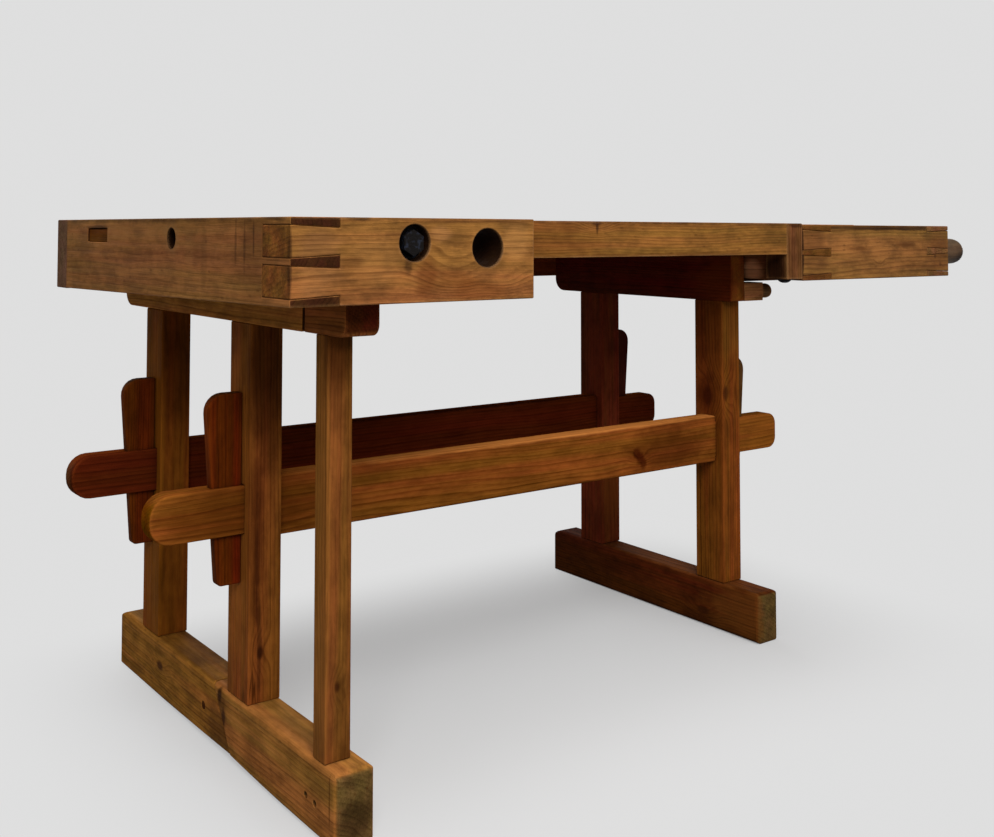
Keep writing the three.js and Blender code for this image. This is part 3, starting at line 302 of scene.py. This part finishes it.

    # Knots, stains and patches of painted light and shade that the figure shows through, and painted shade
    # inside bores
    if knot_mask is not None:
        color = g.mix(knot_mask, color, KNOT_COLOR)
    for centre, half, stain_and_light_colour, strength, wobble in stains_and_painted_light:
        reach = g.vector("LENGTH", g.vector("DIVIDE", gap_to(centre), metres(half)))
        reach = g.math("MULTIPLY_ADD", g.math("SUBTRACT", noise("stain_and_light_edge"), NOISE_MEAN), wobble, reach)
        stained_and_lit = g.mix(figure, tint(srgb(*stain_and_light_colour), STAIN_AND_LIGHT_EARLY), tint(srgb(*stain_and_light_colour), STAIN_AND_LIGHT_LATE))
        color = g.mix(g.smooth(reach, *STAIN_AND_LIGHT_SPAN, strength, 0.0), color, stained_and_lit)
    # Each bore's wall is painted dark as shade, fading out over a dark rim round the hole
    for centre, across, size in bores:
        away = g.vector("LENGTH", g.vector("MULTIPLY", gap_to(centre), across))
        bore_shade = g.smooth(away, *metres(size + past for past in BORE_SPAN), BORE_DARK, 0.0)
        color = g.mix(bore_shade, color, GRIME_AND_SHADE_COLOR)

    # Edges rubbed pale and given a painted highlight, except where pieces meet flush, and painted shade with
    # grime in the joints and corners
    flat = g.add("ShaderNodeNewGeometry").outputs["True Normal"]
    soft = g.add("ShaderNodeBevel", {"samples": EDGE_SAMPLES}, Radius=rounding).outputs[0]
    edge = g.smooth(g.vector("DOT_PRODUCT", flat, soft), *EDGE_SPAN, 1.0, 0.0)
    rub_and_highlight = g.math("MULTIPLY", edge, g.smooth(noise("rub_and_highlight"), *RUB_AND_HIGHLIGHT_SPAN, RUB_AND_HIGHLIGHT_LEAST, wear_and_highlight))
    for centre, half in flush:
        gap = g.vector("ABSOLUTE", g.vector("DIVIDE", gap_to(centre), metres(half)))
        sides = g.add("ShaderNodeSeparateXYZ", Vector=gap).outputs
        reach = g.math("MAXIMUM", sides[0], g.math("MAXIMUM", sides[1], sides[2]))
        rub_and_highlight = g.math("MULTIPLY", rub_and_highlight, g.smooth(reach, *FLUSH_SPAN))
    color = g.mix(rub_and_highlight, color, srgb(*worn_and_lit) if worn_and_lit else tint(tone, RUBBED_AND_LIT))
    # Ambient occlusion paints shade into corners, joints and recesses, mixed with grime
    corner = g.add("ShaderNodeAmbientOcclusion", {"samples": GRIME_AND_SHADE_SAMPLES}, Distance=GRIME_AND_SHADE_REACH)
    grime_and_shade = g.smooth(corner.outputs["AO"], *GRIME_AND_SHADE_SPAN, dirt_and_shade, 0.0)
    color = g.mix(grime_and_shade, color, GRIME_AND_SHADE_COLOR)

    rough = g.weighted_sum(roughness - ROUGH_DROP, *zip((streak, fibre, end_face, grime_and_shade), ROUGH_WEIGHTS))
    height = g.weighted_sum(0.0, *zip((ring, streak, fibre, cloud), RELIEF_WEIGHTS))
    bump = g.add("ShaderNodeBump", Strength=RELIEF, Distance=RELIEF_DEPTH, Height=height).outputs[0]
    shader = g.add("ShaderNodeBsdfPrincipled", Base_Color=color, Roughness=rough, Normal=bump)
    shader.inputs["Specular IOR Level"].default_value = gloss
    g.add("ShaderNodeOutputMaterial", Surface=shader.outputs[0])
    return material


# Iron

# The pale bluish iron colour, mottled through the dark, is partly the iron's own and partly painted glints of
# highlight
IRON_DARK, IRON_PALE_AND_GLINT, RUST = srgb(8, 8, 9), srgb(58, 62, 76), srgb(9, 6, 5)
IRON_SEED_STEP = (1, 0.6, 0.3)
IRON_COARSE, IRON_FINE = (120, 3, 0.55), (600, 3, 0.6)  # noises: scale for each metre, detail, roughness
RUST_SPAN = (0.36, 0.48)
IRON_METALLIC, IRON_SPECULAR = 0.85, 0.1
# Weights of rust and the fine noise in the roughness, and of the two noises in the relief
IRON_ROUGHNESS, IRON_ROUGH_WEIGHTS = 0.34, (0.3, 0.14)
IRON_RELIEF, IRON_RELIEF_DEPTH, IRON_RELIEF_WEIGHTS = 0.8, 0.002, (0.6, 0.4)


def iron(name, seed):
    """Dark forged iron with brown rust in patches, mottled with a pale bluish grey that is partly its own
    colour and partly painted glints of highlight.
    """
    material, g = new_material(name)
    point = g.add("ShaderNodeTexCoord").outputs["Object"]
    moved = g.vector("ADD", point, tuple(seed * step for step in IRON_SEED_STEP))

    def noise(scale, detail, rough):
        return g.noise(g.vector("MULTIPLY", moved, (scale, scale, scale)), detail, rough)

    coarse, fine = noise(*IRON_COARSE), noise(*IRON_FINE)
    rust = g.smooth(coarse, *RUST_SPAN)
    color = g.mix(rust, g.mix(fine, IRON_DARK, IRON_PALE_AND_GLINT), RUST)
    rough = g.weighted_sum(IRON_ROUGHNESS, *zip((rust, fine), IRON_ROUGH_WEIGHTS))
    height = g.weighted_sum(0.0, *zip((coarse, fine), IRON_RELIEF_WEIGHTS))
    bump = g.add("ShaderNodeBump", Strength=IRON_RELIEF, Distance=IRON_RELIEF_DEPTH, Height=height).outputs[0]
    metallic = g.smooth(rust, 0.0, 1.0, IRON_METALLIC, 0.0)
    shader = g.add(
        "ShaderNodeBsdfPrincipled", Base_Color=color, Roughness=rough, Metallic=metallic, Normal=bump)
    shader.inputs["Specular IOR Level"].default_value = IRON_SPECULAR
    g.add("ShaderNodeOutputMaterial", Surface=shader.outputs[0])
    return material


# Colours that several marks or pieces share, the last two for long and end grain. The pale one is for edges
# rubbed pale that also carry a painted highlight; the near black one serves soot marks and also painted shade
PALE = (176, 128, 82)
SOOT_AND_SHADE = (26, 11, 5)
PEG = ((70, 34, 10), (60, 32, 12))
SLIDE = ((80, 44, 16), (60, 32, 12))

# Places where pieces meet flush, so that their edges aren't rubbed pale or given a painted highlight: centre
# and half size
CORNER_JOINT = ((36, 40, 764), (60, 44, 52))
PLUG_JOINT = ((0, 688, 793), (20, 60, 18))
JAW_JOINT = ((1265, 236, 763), (52, 90, 49))
END_JOINT = ((1692, 236, 763), (46, 90, 49))
SCARF_JOINT = ((135, 398, 46), (40, 46, 48))

# Dark notch along the scarf of the left foot, shared by both of its halves
SCARF_NOTCH = [
    ((105, 402, 86), (12, 10, 18), (36, 15, 5), 0.85, 0.6),
    ((105, 387, 58), (12, 8, 22), (42, 18, 6), 0.7, 0.6)]

# One entry for each wooden node: colours of long and end grain in sRGB levels, the axis of the grain, the
# place of the pith across it in metres of the model's frame, and what differs from usual. The lists of marks
# hold, in millimetres of the drawing frame:
#   knots   centre, size (in metres), depth of the colour
#   stains and painted light  centre, half size, colour, strength, raggedness of the outline; real stains, and
#   patches of painted light and painted shade
#   bores   centre, the axes across the bore, radius; the wood inside is painted dark as shade, with a dark rim round it
#   flush   centre, half size of a joint
LOOKS = {
    "left_end_cap": ((136, 89, 46), (54, 29, 13), "Y", (-0.99, 0.80), dict(
        period=0.006, rings=0.28, streaks=0.36, mottle=0.26, blotches=0.12, dents=0.4, dirt_and_shade=0.3, rounding=0.006,
        wear_and_highlight=0.25, worn_and_lit=PALE, gloss=0.03, seed=1, flush=[CORNER_JOINT, PLUG_JOINT],
        stains_and_painted_light=[((0, 84, 764), (30, 96, 90), (78, 50, 22), 0.35, 0.9),
                ((0, 150, 790), (30, 5, 44), (52, 30, 14), 0.5, 1.2),
                ((0, 124, 784), (30, 4, 50), (52, 30, 14), 0.5, 1.2),
                ((0, 98, 794), (30, 4, 34), (44, 24, 10), 0.6, 1.2),
                ((0, 300, 770), (30, 20, 60), (132, 92, 50), 0.3, 1.0),
                ((0, 250, 760), (30, 14, 70), (84, 54, 26), 0.3, 1.0),
                ((0, 40, 822), (24, 50, 9), SOOT_AND_SHADE, 0.8, 1.2),
                ((0, 460, 825), (20, 700, 15), (48, 25, 12), 0.75, 0.7),
                ((0, 367, 790), (12, 36, 32), (150, 110, 66), 0.3, 0.8),
                ((0, 690, 807), (14, 66, 4), SOOT_AND_SHADE, 0.6, 0.8)],
        bores=[((0, 367, 790), (0, 1, 1), 15.5)])),
    "end_cap_plug": ((92, 49, 9), (70, 40, 18), "Y", (-0.9, 0.70), dict(period=0.003, seed=2)),
    "shoulder_vise_arm": ((122, 77, 37), (108, 66, 26), "X", (-0.47, 0.60), dict(
        period=0.007, rings=0.46, streaks=0.4, mottle=0.42, blotches=0.36, dents=0.35, dirt_and_shade=0.35, wear_and_highlight=0.45,
        worn_and_lit=PALE, gloss=0.06, seed=3, sway=0.06, rounding=0.006, flush=[CORNER_JOINT],
        knots=[((250, -8, 748), 0.016, 0.15), ((340, -6, 736), 0.010, 0.2)],
        stains_and_painted_light=[((0, 0, 764), (4, 12, 62), (46, 24, 10), 0.7, 0.4),
                ((125, 0, 768), (60, 14, 44), (166, 114, 62), 0.25, 1.4),
                ((100, 0, 822), (32, 12, 9), SOOT_AND_SHADE, 0.7, 1.3),
                ((30, 0, 822), (42, 12, 8), SOOT_AND_SHADE, 0.75, 1.3),
                ((245, 0, 735), (60, 9, 20), (112, 62, 22), 0.4, 1.2),
                ((177, 0, 756), (10, 9, 18), SOOT_AND_SHADE, 0.6, 0.9),
                ((205, 0, 742), (26, 9, 34), (92, 46, 16), 0.6, 1.0),
                ((296, 0, 722), (70, 10, 20), (98, 50, 16), 0.5, 0.9),
                ((360, 0, 788), (36, 10, 34), (178, 126, 70), 0.4, 0.9),
                ((228, 0, 799), (24, 10, 14), (172, 120, 72), 0.4, 0.8),
                ((88, 0, 763), (26, 10, 11), (92, 54, 22), 0.55, 1.0),
                ((190, 0, 787), (40, 10, 36), (104, 60, 26), 0.35, 0.9),
                ((40, 0, 764), (44, 12, 70), (156, 106, 62), 0.35, 0.8),
                ((300, 0, 818), (150, 14, 5), (84, 46, 20), 0.5, 1.2)],
        bores=[((310, 0, 780), (1, 0, 1), 26.5), ((187, 0, 787), (1, 0, 1), 24.5)])),
    "shoulder_spacer_block": ((120, 76, 38), (84, 52, 26), "X", (-0.30, 0.62), dict(seed=4)),
    "dog_hole_plank": ((125, 82, 34), (92, 58, 30), "X", (-0.24, 0.66), dict(
        period=0.005, rings=0.45, mottle=0.3, dents=0.4, wear_and_highlight=0.5, worn_and_lit=PALE, gloss=0.06, seed=5,
        rounding=0.006, knots=[((667, 150, 818), 0.010, 0.9)],
        stains_and_painted_light=[((668, 154, 810), (4, 8, 16), SOOT_AND_SHADE, 0.7, 0.5),
                ((520, 154, 785), (210, 14, 50), (96, 52, 16), 0.45, 0.9),
                ((720, 154, 820), (330, 20, 7), (70, 38, 16), 0.6, 1.3),
                ((800, 154, 760), (420, 12, 8), (84, 46, 14), 0.6, 1.3),
                ((1090, 154, 818), (110, 16, 6), (70, 38, 16), 0.5, 1.3)])),
    "rear_plank": ((128, 82, 40), (92, 58, 30), "X", (0.05, 0.60), dict(
        period=0.006, rings=0.6, dents=0.5, gloss=0.12, seed=6,
        knots=[((520, 330, 820), 0.013, 0.9), ((980, 470, 820), 0.011, 0.9), ((1320, 420, 820), 0.009, 0.9)],
        stains_and_painted_light=[((820, 300, 820), (150, 60, 8), (70, 40, 18), 0.5, 1.2),
                ((430, 500, 820), (90, 40, 8), (66, 40, 20), 0.5, 1.2),
                ((1250, 520, 820), (60, 60, 8), (58, 34, 18), 0.45, 1.2)])),
    "tray_bottom": ((116, 74, 36), (84, 52, 26), "X", (0.26, 0.52), dict(
        period=0.005, rings=0.5, seed=7, dirt_and_shade=0.85,
        stains_and_painted_light=[((500, 700, 776), (240, 90, 8), (72, 46, 24), 0.5, 1.2),
                ((1150, 760, 776), (200, 70, 8), (64, 40, 20), 0.5, 1.2)])),
    "back_rail": ((92, 56, 28), (104, 76, 57), "X", (0.50, 0.70), dict(
        period=0.005, rings=0.5, seed=8, knots=[((610, 905, 765), 0.012, 0.9)],
        # Painted shade: the back rail's front face, in shade under the top
        stains_and_painted_light=[((1150, 850, 715), (160, 12, 60), (112, 44, 10), 0.8, 0.3)])),
    "left_rail_peg": (*PEG, "Y", (-0.92, 0.76), dict(period=0.002, seed=9)),
    "right_rail_peg": (*PEG, "Y", (0.68, 0.76), dict(period=0.002, seed=10)),
    "right_end_cap": ((104, 66, 36), (76, 42, 20), "Y", (0.56, 0.66), dict(
        period=0.006, rings=0.45, dents=0.5, wear_and_highlight=0.5, worn_and_lit=PALE, gloss=0.12, seed=11)),
    "fixed_jaw_block": ((98, 61, 32), (76, 42, 18), "Z", (0.20, -0.36), dict(
        seed=12, rings=0.5, mottle=0.34, dents=0.3, wear_and_highlight=0.4, worn_and_lit=PALE,
        # The first patch is painted shade on the left face below the slab
        stains_and_painted_light=[((1171, 182, 730), (8, 40, 44), SOOT_AND_SHADE, 0.9, 0.2),
                ((1196, 154, 818), (40, 30, 9), (40, 18, 8), 0.7, 0.8),
                ((1176, 154, 770), (4, 10, 60), (64, 34, 14), 0.5, 0.6)])),
    "vise_guide_rail": (*SLIDE, "X", (-0.2, 0.66), dict(seed=13)),
    "vise_front_board": ((121, 82, 38), (96, 62, 34), "X", (-0.36, 0.68), dict(
        period=0.006, rings=0.45, mottle=0.34, dents=0.4, wear_and_highlight=0.6, worn_and_lit=(84, 48, 22), gloss=0.06, seed=14,
        flush=[JAW_JOINT, END_JOINT],
        knots=[((1475, 150, 742), 0.005, 0.7)],
        stains_and_painted_light=[((1566, 154, 777), (44, 10, 6), (78, 42, 14), 0.7, 0.9),
                ((1400, 154, 770), (50, 10, 8), (86, 48, 18), 0.5, 1.0),
                ((1680, 154, 752), (7, 8, 7), SOOT_AND_SHADE, 0.7, 0.7),
                ((1700, 154, 735), (7, 8, 6), SOOT_AND_SHADE, 0.6, 0.7),
                ((1690, 154, 765), (44, 12, 70), (88, 50, 22), 0.5, 0.9),
                ((1258, 154, 763), (56, 12, 74), (76, 42, 18), 0.5, 0.8),
                ((1219, 154, 763), (5, 12, 70), SOOT_AND_SHADE, 0.8, 0.3),
                ((1500, 154, 812), (300, 14, 7), (40, 20, 6), 0.85, 0.5)])),
    "vise_jaw_block": ((104, 64, 36), (94, 57, 25), "Y", (0.34, 0.70), dict(
        period=0.004, seed=15, dirt_and_shade=0.3, flush=[JAW_JOINT],
        # All three patches are painted light: shade on the left face below the slab, a lit patch near its
        # front, and a shadow right under the slab
        stains_and_painted_light=[((1219, 214, 735), (12, 42, 60), SOOT_AND_SHADE, 0.95, 0.1),
                ((1219, 278, 724), (10, 34, 30), (206, 146, 104), 0.75, 0.4),
                ((1219, 270, 762), (12, 80, 10), SOOT_AND_SHADE, 0.9, 0.3)])),
    "vise_end_block": ((104, 66, 36), (112, 76, 45), "Y", (0.76, 0.68), dict(
        period=0.004, seed=16, flush=[END_JOINT])),
    "vise_garter_key": (*PEG, "Z", (0.75, -0.2), dict(seed=17)),
    "vise_lid": ((124, 80, 40), (92, 58, 30), "X", (-0.2, 0.70), dict(
        period=0.005, seed=18, dents=0.4, stains_and_painted_light=[((1500, 260, 817), (90, 34, 6), (78, 46, 22), 0.5, 1.2)])),
    "vise_runner": (*SLIDE, "X", (-0.15, 0.66), dict(seed=19)),
    "tail_screw": ((80, 60, 38), (70, 50, 30), "X", (-0.2165, 0.76), dict(
        period=0.004, seed=20, wear_and_highlight=0.0, roughness=0.55, gloss=0.06,
        stains_and_painted_light=[((1906, 225, 744), (80, 50, 30), (26, 15, 8), 0.85, 0.6)])),
    "left_foot_rear": ((146, 93, 37), (70, 46, 20), "Y", (-0.83, -0.05), dict(
        period=0.006, mottle=0.35, dents=0.4, seed=21, flush=[SCARF_JOINT],
        knots=[((104, 640, 55), 0.010, 0.8)],
        stains_and_painted_light=[((105, 400, 20), (20, 60, 50), (50, 26, 8), 0.6, 0.9),
                ((135, 570, 99), (60, 190, 8), (84, 50, 16), 0.5, 0.8)] + SCARF_NOTCH)),
    "left_foot_front": ((143, 94, 42), (89, 67, 35), "Y", (-0.86, -0.06), dict(
        period=0.0065, mottle=0.32, dents=0.4, wear_and_highlight=0.5, worn_and_lit=(168, 112, 58), seed=22, flush=[SCARF_JOINT],
        # The first patch is painted light on the top face
        stains_and_painted_light=[((135, 200, 99), (60, 190, 8), (160, 110, 54), 0.25, 0.8),
                ((135, 54, 36), (34, 12, 46), (40, 24, 10), 0.6, 0.9),
                ((104, 395, 60), (16, 26, 50), (50, 26, 8), 0.6, 0.9),
                ((105, 71, 60), (8, 3, 46), (74, 42, 14), 0.6, 0.6)] + SCARF_NOTCH)),
    "foot_scarf_peg": (*PEG, "X", (-0.01, 0.05), dict(period=0.002, seed=23)),
    "right_foot": ((68, 29, 7), (79, 59, 30), "Y", (0.20, -0.06), dict(
        period=0.006, mottle=0.35, dents=0.3, seed=24, knots=[((1168, 364, 30), 0.011, 0.9)],
        # Both patches are painted light: the front of the left face and the top face made lighter
        stains_and_painted_light=[((1168, 240, 46), (24, 150, 90), (100, 58, 20), 0.6, 0.9),
                ((1200, 460, 96), (60, 330, 8), (116, 66, 30), 0.6, 0.7)])),
    "left_middle_post": ((119, 66, 24), (76, 42, 16), "Z", (-0.84, -0.17), dict(
        period=0.0055, cracks=0.7, seed=25, knots=[((128, 312, 172), 0.008, 0.8)],
        # The first patch is painted light on the left face; the last is painted shade on the upper front face
        # under the top
        stains_and_painted_light=[((108, 350, 380), (10, 60, 330), (164, 100, 40), 0.5, 0.5),
                ((126, 314, 190), (6, 8, 100), SOOT_AND_SHADE, 0.55, 1.2),
                ((116, 314, 340), (24, 8, 190), (66, 27, 7), 0.6, 0.8),
                ((121, 314, 300), (4, 8, 120), (40, 12, 4), 0.6, 1.5),
                ((140, 314, 580), (60, 20, 170), (48, 16, 4), 0.7, 0.4)])),
    "left_back_post": ((110, 57, 15), (70, 38, 14), "Z", (-0.83, 0.30), dict(
        period=0.005, seed=26,
        # Painted light on the left face, then painted shade on the upper front face under the top
        stains_and_painted_light=[((108, 690, 360), (8, 110, 440), (132, 80, 20), 0.5, 0.5),
                ((140, 656, 560), (60, 20, 150), (48, 15, 3), 0.5, 0.5)])),
    "right_front_post": ((110, 58, 17), (76, 42, 16), "Z", (0.20, -0.17), dict(
        period=0.006, seed=27, knots=[((1172, 352, 466), 0.016, 0.85), ((1182, 312, 474), 0.012, 0.7)],
        stains_and_painted_light=[((1172, 350, 470), (18, 40, 60), (60, 20, 4), 0.6, 0.8),
                # Painted shade on the upper left face, then painted light on the upper front face
                ((1172, 350, 620), (12, 60, 160), (60, 22, 4), 0.45, 0.6),
                ((1200, 314, 600), (40, 10, 80), (112, 72, 24), 0.5, 0.8)])),
    "right_back_post": ((90, 38, 16), (60, 30, 10), "Z", (0.22, 0.32), dict(
        # Painted light on the lower front face
        period=0.005, seed=28, stains_and_painted_light=[((1200, 656, 210), (44, 20, 120), (100, 52, 16), 0.6, 0.6)])),
    "left_front_post": ((111, 65, 26), (80, 46, 18), "Z", (-0.88, -0.42), dict(
        period=0.005, seed=29, knots=[((126, 88, 196), 0.006, 0.8)],
        # Painted light on the left face, then painted shade on the upper front face under the arm
        stains_and_painted_light=[((108, 106, 360), (8, 50, 420), (140, 92, 38), 0.5, 0.5),
                ((124, 90, 655), (44, 14, 90), (52, 22, 4), 0.65, 0.5)])),
    "left_beam": ((154, 96, 41), (60, 34, 12), "Y", (-0.86, 0.60), dict(period=0.005, seed=30)),
    "arm_bearer": ((130, 71, 34), (67, 26, 10), "Y", (-0.86, 0.62), dict(period=0.005, seed=31)),
    "right_beam": ((71, 23, 8), (113, 60, 21), "Y", (0.32, 0.60), dict(
        period=0.005, seed=32,
        # Painted light on the front end and the front of the left face, then painted shade right under the slab
        stains_and_painted_light=[((1210, 290, 702), (13, 8, 44), (112, 62, 28), 0.5, 0.5),
                ((1172, 296, 700), (10, 120, 60), (98, 42, 12), 0.7, 0.5),
                ((1190, 290, 760), (50, 60, 10), SOOT_AND_SHADE, 0.4, 0.3)])),
    "beam_peg": ((156, 101, 60), (80, 52, 28), "X", (-0.15, 0.70), dict(
        period=0.004, seed=33, mottle=0.34, stains_and_painted_light=[((1290, 300, 680), (18, 30, 30), (58, 50, 36), 0.7, 0.5)])),
    "left_top_peg": (*PEG, "Z", (-0.8, 0.0), dict(seed=34)),
    "right_top_peg": (*PEG, "Z", (0.26, 0.07), dict(seed=35)),
    "near_stretcher": ((123, 68, 23), (101, 58, 5), "X", (-0.17, 0.30), dict(
        period=0.006, mottle=0.2, blotches=0.22, wear_and_highlight=0.4, gloss=0.0, seed=36, sway=0.04,
        knots=[((954, 330, 367), 0.007, 0.5)],
        # The first patch is a painted highlight along the top edge
        stains_and_painted_light=[((760, 345, 430), (780, 40, 9), (196, 126, 62), 0.75, 0.5),
                ((700, 332, 335), (760, 14, 7), (40, 16, 5), 0.8, 0.6),
                ((1330, 332, 382), (64, 24, 70), (132, 76, 24), 0.5, 0.5),
                ((1030, 332, 376), (150, 14, 60), (70, 30, 8), 0.6, 0.7),
                ((945, 332, 376), (13, 9, 14), (60, 20, 5), 0.8, 0.6),
                ((954, 332, 366), (14, 9, 15), (60, 20, 5), 0.8, 0.6),
                ((963, 332, 355), (13, 9, 14), (60, 20, 5), 0.8, 0.6),
                ((120, 332, 380), (190, 40, 80), (76, 36, 6), 0.65, 0.5)])),
    "far_stretcher": ((105, 47, 16), (92, 52, 28), "X", (0.18, 0.31), dict(
        period=0.006, seed=37, gloss=0.0,
        # The first patch is painted shade over the front face, under the top
        stains_and_painted_light=[((700, 676, 395), (2200, 14, 300), (66, 18, 6), 0.75, 0.25),
                ((700, 676, 430), (900, 40, 7), (26, 7, 3), 0.8, 0.5)])),
    "left_near_wedge": ((83, 31, 4), (66, 32, 10), "Z", (-0.93, -0.14), dict(
        # Painted light, lightening the wedge's left face
        period=0.005, seed=38, stains_and_painted_light=[((50, 350, 420), (16, 50, 260), (120, 54, 12), 0.5, 0.5)])),
    "left_far_wedge": ((81, 35, 5), (56, 30, 12), "Z", (-0.92, 0.21), dict(period=0.005, seed=39)),
    "right_near_wedge": ((86, 54, 26), (76, 44, 18), "Z", (0.36, -0.15), dict(period=0.005, seed=40)),
    "right_far_wedge": ((60, 22, 12), (60, 30, 12), "Z", (0.36, 0.20), dict(period=0.005, seed=41)),
}

# Edges of the nodes, rounded by modifiers, in millimetres
EDGES = {
    "tail_screw": 0.0, "left_foot_rear": 1.2, "left_foot_front": 1.2, "right_foot": 1.2,
    "beam_peg": 1.0, "left_rail_peg": 1.0, "right_rail_peg": 1.0, "foot_scarf_peg": 0.8,
    "left_near_wedge": 2.5, "left_far_wedge": 2.5, "right_near_wedge": 2.5, "right_far_wedge": 2.5,
    "near_stretcher": 2.5, "far_stretcher": 2.5, "end_cap_plug": 0.8,
}
USUAL_EDGE = 1.8
IRON_EDGE = 0.8
EDGE_SEGMENTS = 2
SHARP_ANGLE = math.radians(32)
FLAT_ANGLE = math.radians(0.5)
WELD_GAP = 0.00002


def soften(node, width):
    """Rounds a node's sharp edges, with even shading on flats and turned shapes."""
    mesh = node.data
    mesh.polygons.foreach_set("use_smooth", [True] * len(mesh.polygons))
    weld = node.modifiers.new("weld", "WELD")
    weld.merge_threshold = WELD_GAP
    flat = node.modifiers.new("flats", "DECIMATE")
    flat.decimate_type = "DISSOLVE"
    flat.angle_limit = FLAT_ANGLE
    if width:
        bevel = node.modifiers.new("edges", "BEVEL")
        bevel.width = width / MM_PER_M
        bevel.segments = EDGE_SEGMENTS
        bevel.limit_method = "ANGLE"
        bevel.angle_limit = SHARP_ANGLE
        bevel.use_clamp_overlap = False
    node.modifiers.new("normals", "WEIGHTED_NORMAL")


IRON_SEED = 0.37  # for each letter of a node's name

for name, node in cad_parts.items():
    node.data.materials.clear()
    if name in LOOKS:
        tone, end, grain, pith, marks = LOOKS[name]
        node.data.materials.append(wood(name + "_wood", tone, end, grain, pith, **marks))
        soften(node, EDGES.get(name, USUAL_EDGE))
    else:
        node.data.materials.append(iron(name + "_iron", len(name) * IRON_SEED))
        soften(node, IRON_EDGE)


# Studio: a pale floor that keeps the shadow near the bench and runs out into an even background

PAPER = 0.735  # the background
PAPER_NEAR = 0.565  # the lit floor near the bench, as the camera sees it
PAPER_BOUNCE = 0.3  # the same floor, for the light that it throws back
SKY = 0.3  # the world's light on the bench
FLOOR_HALF, FLOOR_HEIGHT = 40, -0.0005
SHADOW_CENTRE = (-0.18, -0.06)
SHADOW_SPAN_X, SHADOW_SPAN_Y = (0.4, 0.97), (0.2, 0.65)  # where the lit floor starts and ends to run out
SHADOW_LIFT = 0.3  # share of the background that is mixed in even under the bench

# Softboxes: place, target, size and power
LAMPS = {
    "key": ((-1.7, -2.9, 2.9), (0.0, 0.0, 0.4), (2.6, 1.8), 135),
    "overhead": ((-0.2, -0.8, 3.2), (0.0, 0.0, 0.0), (3.0, 2.4), 62),
    "rear_fill": ((0.9, 3.4, 2.0), (0.0, 0.0, 0.5), (3.0, 2.0), 40),
}


def make_floor():
    corners = [(x * FLOOR_HALF, y * FLOOR_HALF, 0) for x, y in ((-1, -1), (1, -1), (1, 1), (-1, 1))]
    mesh = bpy.data.meshes.new("floor")
    mesh.from_pydata(corners, [], [(0, 1, 2, 3)])
    floor = bpy.data.objects.new("floor", mesh)
    floor.location.z = FLOOR_HEIGHT
    bpy.context.scene.collection.objects.link(floor)
    material, g = new_material("floor_paper")
    point = g.add("ShaderNodeTexCoord").outputs["Object"]
    x, y, _ = g.add("ShaderNodeSeparateXYZ", Vector=point).outputs

    def within(position, centre, span):
        return g.smooth(g.math("ABSOLUTE", g.math("SUBTRACT", position, centre)), *span, 1.0, 0.0)

    near = g.math(
        "MULTIPLY", within(x, SHADOW_CENTRE[0], SHADOW_SPAN_X), within(y, SHADOW_CENTRE[1], SHADOW_SPAN_Y))
    away = g.math("SUBTRACT", 1.0, near)
    seen = g.seen()
    far = g.math("MULTIPLY", seen, g.math("MULTIPLY_ADD", away, 1 - SHADOW_LIFT, SHADOW_LIFT))
    shade = g.math("MULTIPLY_ADD", seen, PAPER_NEAR - PAPER_BOUNCE, PAPER_BOUNCE)
    near_shader = g.add("ShaderNodeBsdfDiffuse", Color=shade).outputs[0]
    far_shader = g.add("ShaderNodeEmission", Color=(PAPER, PAPER, PAPER, 1.0), Strength=1.0).outputs[0]
    blend = g.add("ShaderNodeMixShader")
    for socket, value in zip(blend.inputs, (far, near_shader, far_shader)):
        g.put(socket, value)
    g.add("ShaderNodeOutputMaterial", Surface=blend.outputs[0])
    mesh.materials.append(material)


def make_world():
    world = bpy.data.worlds.new("studio")
    world.use_nodes = True
    bpy.context.scene.world = world
    g = Graph(world.node_tree)
    level = g.math("MULTIPLY_ADD", g.seen(), PAPER - SKY, SKY)
    background = g.add("ShaderNodeBackground", Color=(1.0, 1.0, 1.0, 1.0), Strength=level)
    g.add("ShaderNodeOutputWorld", Surface=background.outputs[0])


def softbox(name, place, target, size, power):
    data = bpy.data.lights.new(name, "AREA")
    data.shape = "RECTANGLE"
    data.size, data.size_y = size
    data.energy = power
    light = bpy.data.objects.new(name, data)
    light.location = place
    light.rotation_euler = (Vector(target) - Vector(place)).to_track_quat("-Z", "Y").to_euler()
    bpy.context.scene.collection.objects.link(light)


make_floor()
make_world()
for name, lamp in LAMPS.items():
    softbox(name, *lamp)
